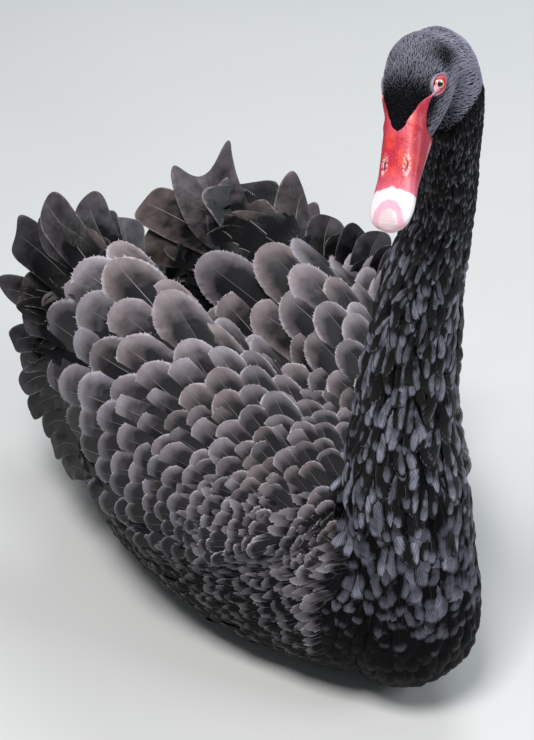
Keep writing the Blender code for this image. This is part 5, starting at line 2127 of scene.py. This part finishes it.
@dataclass
class Bill:
    """Upper bill with nostrils and nail, and lower bill under it."""

    head: HeadForm
    # forward, half width, top, mouth line
    upper: Profile = Profile(
        (0.029, 0.0136, 0.0122, -0.014), (0.0343, 0.0147, 0.0102, -0.0152),
        (0.0438, 0.0148, 0.0064, -0.0156), (0.0554, 0.0144, 0.002, -0.0154),
        (0.0661, 0.0142, -0.0018, -0.0152), (0.0768, 0.015, -0.0042, -0.015),
        (0.0867, 0.0158, -0.006, -0.015), (0.094, 0.0142, -0.0084, -0.0156),
        (0.099, 0.0098, -0.0112, -0.017), (0.1012, 0.0034, -0.014, -0.018),
    )
    # forward, half width, mouth line, underside
    lower: Profile = Profile(
        (0.029, 0.012, -0.013, -0.019), (0.0343, 0.0124, -0.0132, -0.019),
        (0.0483, 0.012, -0.0134, -0.0188), (0.0644, 0.0117, -0.0136, -0.0184),
        (0.0795, 0.0118, -0.014, -0.018), (0.0893, 0.011, -0.015, -0.0177),
        (0.0947, 0.007, -0.016, -0.0178),
    )
    fullness: float = 2.4
    wall_fullness: float = 4.2
    nostril: Pair = (0.06, 0.0082)
    nostril_size: Pair = (0.0044, 0.0011)
    nostril_depth: float = 0.0013
    nail: Pair = (0.0985, 0.0072)
    nail_reach: float = 0.0085
    nail_proud: float = 0.0008
    nostril_rim: float = 0.0003

    def shaped(self, point: Vector) -> Vector:
        """Squares the upper bill's walls, sinks the nostrils and raises the nail.

        Args:
            point: A point of the plain upper bill.

        Returns:
            Where it goes.
        """
        head = self.head
        f, l, u = head.local(point)
        width, top, low = self.upper.row(f)
        middle = 0.5 * (top + low)
        outward = (head.up * 0.8 + head.left * copysign(0.6, l)).normalized()
        if u <= middle:
            share = min(1.0, (middle - u) / (middle - low))
            wall = width * (1 - share**self.wall_fullness) ** (1 / self.wall_fullness)
            return point + head.left * (copysign(wall, l) - l) * ease(0.0, 0.004, abs(l))
        across = (f - self.nostril[0]) / self.nostril_size[0]
        away = (abs(l) - self.nostril[1]) / self.nostril_size[1]
        pit = exp(-((across**2 + away**2) ** 1.5))
        rim = exp(-((hypot(across, away) - 1.7) ** 2) / 0.25)
        oval = hypot((f - self.nail[0]) / self.nail_reach, l / self.nail[1])
        nail = 1 - ease(0.85, 1.1, oval)
        point = point - outward * (pit * self.nostril_depth)
        return point + outward * rim * self.nostril_rim + head.up * nail * self.nail_proud

    def part(self, name: str, rows: Profile, rings: int, sides: int, shaped: bool) -> Piece:
        """One half of the bill.

        Args:
            name: Its name.
            rows: Its stations: forward, half width, top, underside.
            rings: How many rings of points it has.
            sides: How many points a ring has.
            shaped: Whether it has the upper bill's walls, nostrils and nail.

        Returns:
            The new piece.
        """
        bm = bmesh.new()
        outline = []
        back, front = rows.x[0], rows.x[-1]
        for t in spread(rings):
            f = back + (front - back) * sin(pi / 2 * t) ** 1.15
            ring = []
            for k in range(sides):
                point = self.head.section(rows, f, tau * k / sides, self.fullness)
                ring.append(self.shaped(point) if shaped else point)
            outline.append(ring)
        loft(bm, outline)
        return finished(bm, name)

    def build(self) -> tuple[Piece, Piece]:
        """Makes both halves."""
        horn = BillFinish(self.head).material()
        top = self.part("bill_upper", self.upper, 76, 80, True)
        low = self.part("bill_lower", self.lower, 40, 48, False)
        for piece in (top, low):
            piece.data.materials.append(horn)
        return top, low


# Legs


@dataclass
class Legs:
    """Webbed feet folded flat on the floor, with their shanks and claws."""

    x: float = 0.062
    toe_y: float = 0.1
    foot_length: float = 0.082
    shank_radius: float = 0.0068
    shank_top: Vector = fixed(-0.012, 0.022, 0.045)
    # sideways at the tip, share of the foot's length
    toes: tuple[Row, ...] = ((-0.0175, 0.9), (0.0, 1.0), (0.0175, 0.92))
    toe_radius: float = 0.0036
    claw_length: float = 0.007
    claw_arch: float = 0.0008
    claw_radii: Row = (0.0019, 0.0018, 0.0015, 0.001, 0.0003)
    web_thickness: float = 0.0016
    sides: int = 14

    def tube(self, bm: bmesh.types.BMesh, line: Line, radii: Row | list[float]) -> None:
        """A round tube along a line.

        Args:
            bm: The mesh to add to.
            line: Its middle line.
            radii: Its radius at each point of the line.
        """
        rings = []
        for k, (point, radius) in enumerate(zip(line, radii)):
            along = (line[min(k + 1, len(line) - 1)] - line[max(k - 1, 0)]).normalized()
            across = along.cross(Vector((0, 0, 1))).normalized()
            up = across.cross(along)
            ring = []
            for j in range(self.sides):
                a = tau * j / self.sides
                spot = point + (across * cos(a) + up * sin(a)) * radius
                spot.z = max(spot.z, 0.0)
                ring.append(spot)
            rings.append(ring)
        loft(bm, rings)

    def toe_line(self, side: int, toe: Row, steps: int = 12) -> Line:
        """Points along one toe, from the heel forward.

        Args:
            side: 1 for the left leg, -1 for the right.
            toe: How far its tip is aside, and its share of the length.
            steps: How many points.

        Returns:
            The points.
        """
        heel = Vector((side * self.x, self.toe_y + 0.92 * self.foot_length, self.toe_radius))
        reach = self.foot_length * toe[1] * 0.9
        line = []
        for t in spread(steps):
            out = toe[0] * sin(pi / 2 * t)
            line.append(heel + Vector((side * out, -reach * t, -0.0006 * t)))
        return line

    def build(self, side: int) -> Piece:
        """One leg.

        Args:
            side: 1 for the left, -1 for the right.

        Returns:
            The new piece.
        """
        bm = bmesh.new()
        for toe in self.toes:
            line = self.toe_line(side, toe)
            radii = []
            for k in range(len(line)):
                t = k / (len(line) - 1)
                radii.append(self.toe_radius * (1 - 0.38 * t) * (1 + 0.1 * cos(t * tau * 3)))
            self.tube(bm, line, radii)
            tip, along = line[-1], (line[-1] - line[-2]).normalized()
            claw = [tip + along * self.claw_length * t + Vector((0, 0, self.claw_arch * sin(pi * t)))
                    for t in spread(5, -0.2)]
            self.tube(bm, claw, self.claw_radii)
        lines = [self.toe_line(side, toe) for toe in self.toes]
        for a, b in zip(lines, lines[1:]):
            rings = []
            for k in range(1, len(a) - 1):
                t = k / (len(a) - 1)
                pull = 0.01 * t**3
                edge = [a[k].lerp(b[k], s) + Vector((0, pull * sin(pi * s), 0)) for s in spread(7)]
                top = [Vector((p.x, p.y, self.web_thickness + 0.0006)) for p in edge]
                low = [Vector((p.x, p.y, 0.0006)) for p in reversed(edge)]
                rings.append(top + low)
            loft(bm, rings)
        heel = Vector((side * self.x, self.toe_y + 0.9 * self.foot_length, self.shank_radius))
        top = heel + Vector((side * self.shank_top.x, self.shank_top.y, self.shank_top.z))
        line = [heel.lerp(top, t) for t in spread(6, -0.05, 1.0)]
        self.tube(bm, line, [self.shank_radius * 0.9, self.shank_radius, *[self.shank_radius * 0.92] * 4])
        name = "leg_left_scaled" if side > 0 else "leg_right_scaled"
        leg = finished(bm, name)
        leg.data.materials.append(LegFinish().material())
        return leg


# Studio


@dataclass
class Studio:
    """Floor, soft light and the camera."""

    place: Vector = fixed(-0.7814, -1.2338, 1.1605)
    azimuth: float = radians(-32)
    elevation: float = radians(33)
    lens: float = 100.0
    floor_size: float = 12.0
    floor_paint: tuple[Colour, Colour] = ((0.47, 0.48, 0.475), (0.52, 0.525, 0.515))
    sky: Colour = (0.86, 0.92, 1.0)
    sky_strength: float = 0.24
    # where the lamps look, then each one's name, place, size, watts and colour
    target: Vector = fixed(0.0, 0.0, 0.2)
    lamps: tuple = (
        ("key", Vector((-1.1, -0.8, 2.8)), 0.9, 105.0, (1.0, 0.98, 0.97)),
        ("rim", Vector((1.5, 1.2, 2.2)), 1.2, 40.0, (0.9, 0.95, 1.0)),
        ("fill", Vector((1.3, -1.7, 1.5)), 0.9, 26.0, (0.92, 0.96, 1.0)),
    )

    def floor(self) -> Piece:
        """A plain pale floor."""
        bm = bmesh.new()
        bmesh.ops.create_grid(bm, x_segments=1, y_segments=1, size=self.floor_size / 2)
        mesh = bpy.data.meshes.new("floor")
        bm.to_mesh(mesh)
        bm.free()
        n = Nodes("floor_paint")
        n.set(Base_Color=n.mix(n.noise(n.place(), 3.0), *self.floor_paint), Roughness=0.7)
        mesh.materials.append(n.material)
        return linked("floor", mesh)

    def light(self) -> None:
        """A dull sky with a large soft lamp and two weaker ones."""
        world = bpy.data.worlds.new("sky")
        world.use_nodes = True
        colour, strength = world.node_tree.nodes["Background"].inputs[:2]
        colour.default_value, strength.default_value = (*self.sky, 1.0), self.sky_strength
        bpy.context.scene.world = world
        for name, place, size, watts, tint in self.lamps:
            data = bpy.data.lights.new(name, "AREA")
            data.size = size
            data.energy = watts
            data.color = tint
            lamp = linked(name, data)
            lamp.location = place
            lamp.rotation_euler = (self.target - place).to_track_quat("-Z", "Y").to_euler()

    def camera(self) -> None:
        """The camera at the photograph's angle."""
        data = bpy.data.cameras.new("camera")
        data.lens = self.lens
        camera = linked("camera", data)
        a, e = self.azimuth, self.elevation
        back = Vector((sin(a) * cos(e), -cos(a) * cos(e), sin(e)))
        camera.location = self.place
        camera.rotation_euler = (-back).to_track_quat("-Z", "Y").to_euler()
        bpy.context.scene.camera = camera


PLUME_VANE = VaneForm(base=0.66, widest=0.78, roundness=2.6, side_steps=12, tip_steps=20, barb_steps=5,
                      fringe=0.0, thickness=0.0008, aspect=0.18, camber=0.06)
# height that the left wing's crest is raised, and the left coverts' rear edge: degrees, y
CREST_HEIGHT = 0.016
LEFT_REAR_EDGE = Profile(
    (0.0, 0.085), (10.0, 0.078), (15.0, 0.05), (40.0, 0.046), (66.0, 0.05), (80.0, 0.15),
)
# root's y and degrees across the wing, tip, width, warm, tone
CREST_FEATHERS = (
    Plume(0.07, 44.0, (0.12, 0.11, 0.243), 0.028, 0.4, 0.7),
    Plume(0.05, 46.0, (0.128, 0.09, 0.248), 0.028, 0.3, 0.6),
    Plume(0.03, 48.0, (0.134, 0.07, 0.253), 0.028, 0.3, 0.7),
    Plume(0.01, 50.0, (0.139, 0.05, 0.258), 0.028, 0.4, 0.6),
    Plume(-0.01, 50.0, (0.136, 0.024, 0.262), 0.026, 0.3, 0.6),
    Plume(0.05, 40.0, (0.114, 0.085, 0.243), 0.028, 0.3, 0.6),
    Plume(0.03, 42.0, (0.122, 0.065, 0.246), 0.028, 0.3, 0.7),
    Plume(0.01, 44.0, (0.13, 0.045, 0.25), 0.028, 0.2, 0.6),
    Plume(-0.008, 46.0, (0.135, 0.03, 0.25), 0.028, 0.3, 0.7),
)
LEFT_PLUMES = (
    Plume(0.14, 7.0, (0.02, 0.205, 0.205), 0.04, 0.3, 0.0),
    Plume(0.152, 6.0, (0.022, 0.226, 0.196), 0.04, 0.4, 0.0),
    Plume(0.134, 16.0, (0.069, 0.235, 0.275), 0.062, 0.35, 0.55, horn=1.75, skew=0.55),
    Plume(0.15, 11.0, (0.017, 0.262, 0.249), 0.044, 0.6, 0.45, horn=0.15),
    Plume(0.144, 8.0, (0.014, 0.25, 0.217), 0.056, 0.8, 0.3, curl=0.08),
    Plume(0.13, 32.0, (0.088, 0.21, 0.268), 0.074, 0.0, 0.04, horn=0.2, skew=0.05, curl=0.05, lift=0.012),
    Plume(0.096, 42.0, (0.132, 0.165, 0.273), 0.042, 0.4, 0.5, skew=-1.3),
    Plume(0.112, 27.0, (0.074, 0.188, 0.252), 0.056, 0.7, 0.4, curl=0.08, lift=0.018),
    Plume(0.116, 14.0, (0.033, 0.2, 0.226), 0.054, 0.7, 0.34, curl=0.06, lift=0.02),
    Plume(0.128, 36.0, (0.104, 0.188, 0.248), 0.044, 0.2, 0.05),
    Plume(0.075, 44.0, (0.128, 0.115, 0.266), 0.036, 0.2, 0.25, curl=0.1),
    Plume(0.06, 46.0, (0.131, 0.094, 0.262), 0.03, 0.1, 0.1, skew=0.34),
    Plume(0.045, 48.0, (0.137, 0.078, 0.272), 0.032, 0.1, 0.15, skew=-0.51),
    Plume(0.025, 50.0, (0.146, 0.062, 0.274), 0.032, 0.1, 0.1, skew=0.34),
    Plume(0.005, 50.0, (0.147, 0.04, 0.268), 0.028, 0.1, 0.15),
    Plume(-0.012, 50.0, (0.15, 0.03, 0.272), 0.03, 0.1, 0.15),
    Plume(0.146, 50.0, (0.118, 0.22, 0.236), 0.044, 0.3, 0.2, horn=0.42),
    Plume(0.156, 62.0, (0.136, 0.24, 0.214), 0.042, 0.3, 0.2),
    Plume(0.152, 72.0, (0.14, 0.238, 0.18), 0.04, 0.2, 0.2),
    Plume(0.146, 80.0, (0.141, 0.225, 0.15), 0.04, 0.2, 0.2),
    Plume(0.125, 86.0, (0.138, 0.212, 0.112), 0.038, 0.2, 0.2),
)
# the tones fall towards the wing's lower edge: painted shade
RIGHT_PLUMES = (
    Plume(0.15, 12.0, (0.027, 0.212, 0.268), 0.034, 0.1, 0.36),
    Plume(0.152, 20.0, (0.055, 0.235, 0.288), 0.032, 0.1, 0.36, skew=0.51, turn=14.0),
    Plume(0.152, 32.0, (0.09, 0.245, 0.285), 0.034, 0.2, 0.28, skew=0.68, turn=20.0, curl=0.06),
    Plume(0.152, 44.0, (0.119, 0.25, 0.262), 0.038, 0.1, 0.24, horn=0.63, skew=0.59),
    Plume(0.15, 26.0, (0.071, 0.22, 0.256), 0.026, 0.6, 0.44, turn=40.0, curl=0.2),
    Plume(0.152, 38.0, (0.1, 0.24, 0.238), 0.026, 0.3, 0.24, horn=0.53, skew=0.85, turn=24.0, curl=0.12),
    Plume(0.152, 52.0, (0.122, 0.237, 0.208), 0.034, 0.8, 0.2, curl=0.1),
    Plume(0.154, 58.0, (0.138, 0.25, 0.21), 0.028, 0.2, 0.16, skew=0.85, turn=20.0),
    Plume(0.148, 50.0, (0.113, 0.204, 0.197), 0.026, 0.5, 0.48, turn=50.0, curl=0.25),
    Plume(0.146, 40.0, (0.088, 0.192, 0.234), 0.036, 0.5, 0.44, curl=0.05),
    Plume(0.15, 64.0, (0.131, 0.222, 0.186), 0.028, 0.3, 0.14, skew=0.4),
    Plume(0.15, 70.0, (0.14, 0.23, 0.164), 0.027, 0.2, 0.08, horn=0.4, skew=0.5),
    Plume(0.14, 70.0, (0.126, 0.2, 0.16), 0.026, 0.5, 0.16),
    Plume(0.148, 76.0, (0.136, 0.222, 0.142), 0.026, 0.1, 0.1, skew=0.4),
    Plume(0.134, 78.0, (0.128, 0.19, 0.138), 0.026, 0.3, 0.14),
    Plume(0.144, 81.0, (0.141, 0.214, 0.122), 0.026, 0.1, 0.08, skew=0.3),
    Plume(0.126, 83.0, (0.134, 0.182, 0.116), 0.025, 0.3, 0.12),
    Plume(0.134, 86.0, (0.14, 0.2, 0.102), 0.025, 0.1, 0.06, skew=0.3),
    Plume(0.112, 88.0, (0.141, 0.172, 0.1), 0.025, 0.2, 0.1),
    Plume(0.094, 90.0, (0.143, 0.15, 0.092), 0.025, 0.2, 0.08),
    Plume(0.07, 92.0, (0.145, 0.122, 0.086), 0.024, 0.2, 0.08),
)


def keep(piece: Piece, slot: Slot, *nodes: str) -> None:
    """Hangs a piece on the body and hides the solids that it stands for.

    Args:
        piece: The finished piece.
        slot: Its material slot; not used.
        nodes: The CAD nodes that it replaces.
    """
    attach(piece, BODY)
    if nodes:
        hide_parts(*nodes)
    LOG.info("%s: %d faces", piece.name, len(piece.data.polygons))


def main() -> None:
    """Builds the pieces in order."""
    logging.basicConfig(level=logging.INFO, format="%(name)s %(message)s")
    bpy.context.scene.view_settings.view_transform = "Standard"
    studio = Studio()
    studio.camera()
    studio.light()
    studio.floor()

    torso, column, head = TorsoForm(), ColumnForm(), HeadForm()
    wings = {side: WingForm(side, torso) for side in (1, -1)}
    skin = Skin(torso, column, head, wings)
    keep(skin.build(), Slot.DARK, *FLESH)

    bill = Bill(head)
    bare = BareSkin(head, bill)
    keep(bare.build(), Slot.BILL)
    eyes = EyePair(head)
    keep(eyes.eyeball(1), Slot.EYE, "eye_left")
    keep(eyes.eyeball(-1), Slot.EYE, "eye_right")
    keep(eyes.lids(), Slot.EYE)
    upper, lower = bill.build()
    keep(upper, Slot.BILL, "upper_bill")
    keep(lower, Slot.BILL, "lower_bill")

    velvet = HeadCoat(skin, bare).build()
    keep(velvet.build("head_velvet", VELVET_FINISH.material()), Slot.DARK)
    neck_finish, breast_finish = NECK_FINISH.material(), BREAST_FINISH.material()
    for name, coat in NeckCoat(skin).build().items():
        keep(coat.build(name, breast_finish if name == "breast_scales" else neck_finish), Slot.DARK)
    body_finish = BODY_FINISH.material()
    for name, coat in BodyCoat(skin).build().items():
        keep(coat.build(f"body_feathers_{name}", body_finish), Slot.DARK)

    covert_finish, plume_finish = WING_FINISH.material(), PLUME_FINISH.material()
    for side, name, rows in ((1, "left", LEFT_PLUMES), (-1, "right", RIGHT_PLUMES)):
        coverts = WingCoverts(skin, wings[side])
        if side > 0:
            coverts.crest_height, coverts.rear_edge = CREST_HEIGHT, LEFT_REAR_EDGE
        small, broad = coverts.build()
        plumes = Coat(PLUME_VANE, 17 + side, 0.03)
        Plumes(wings[side], rows).build(plumes)
        if side > 0:
            Plumes(wings[side], CREST_FEATHERS, companions=0).build(broad)
        keep(small.build(f"small_coverts_{name}", covert_finish), Slot.WING)
        keep(broad.build(f"broad_coverts_{name}", covert_finish), Slot.WING)
        keep(plumes.build(f"plumes_{name}", plume_finish), Slot.WING)
    tail = TailFeathers().build()
    keep(tail.build("tail_feathers", plume_finish), Slot.DARK)

    legs = Legs()
    keep(legs.build(1), Slot.LEG, "leg_left")
    keep(legs.build(-1), Slot.LEG, "leg_right")


if __name__ == "__main__":
    main()
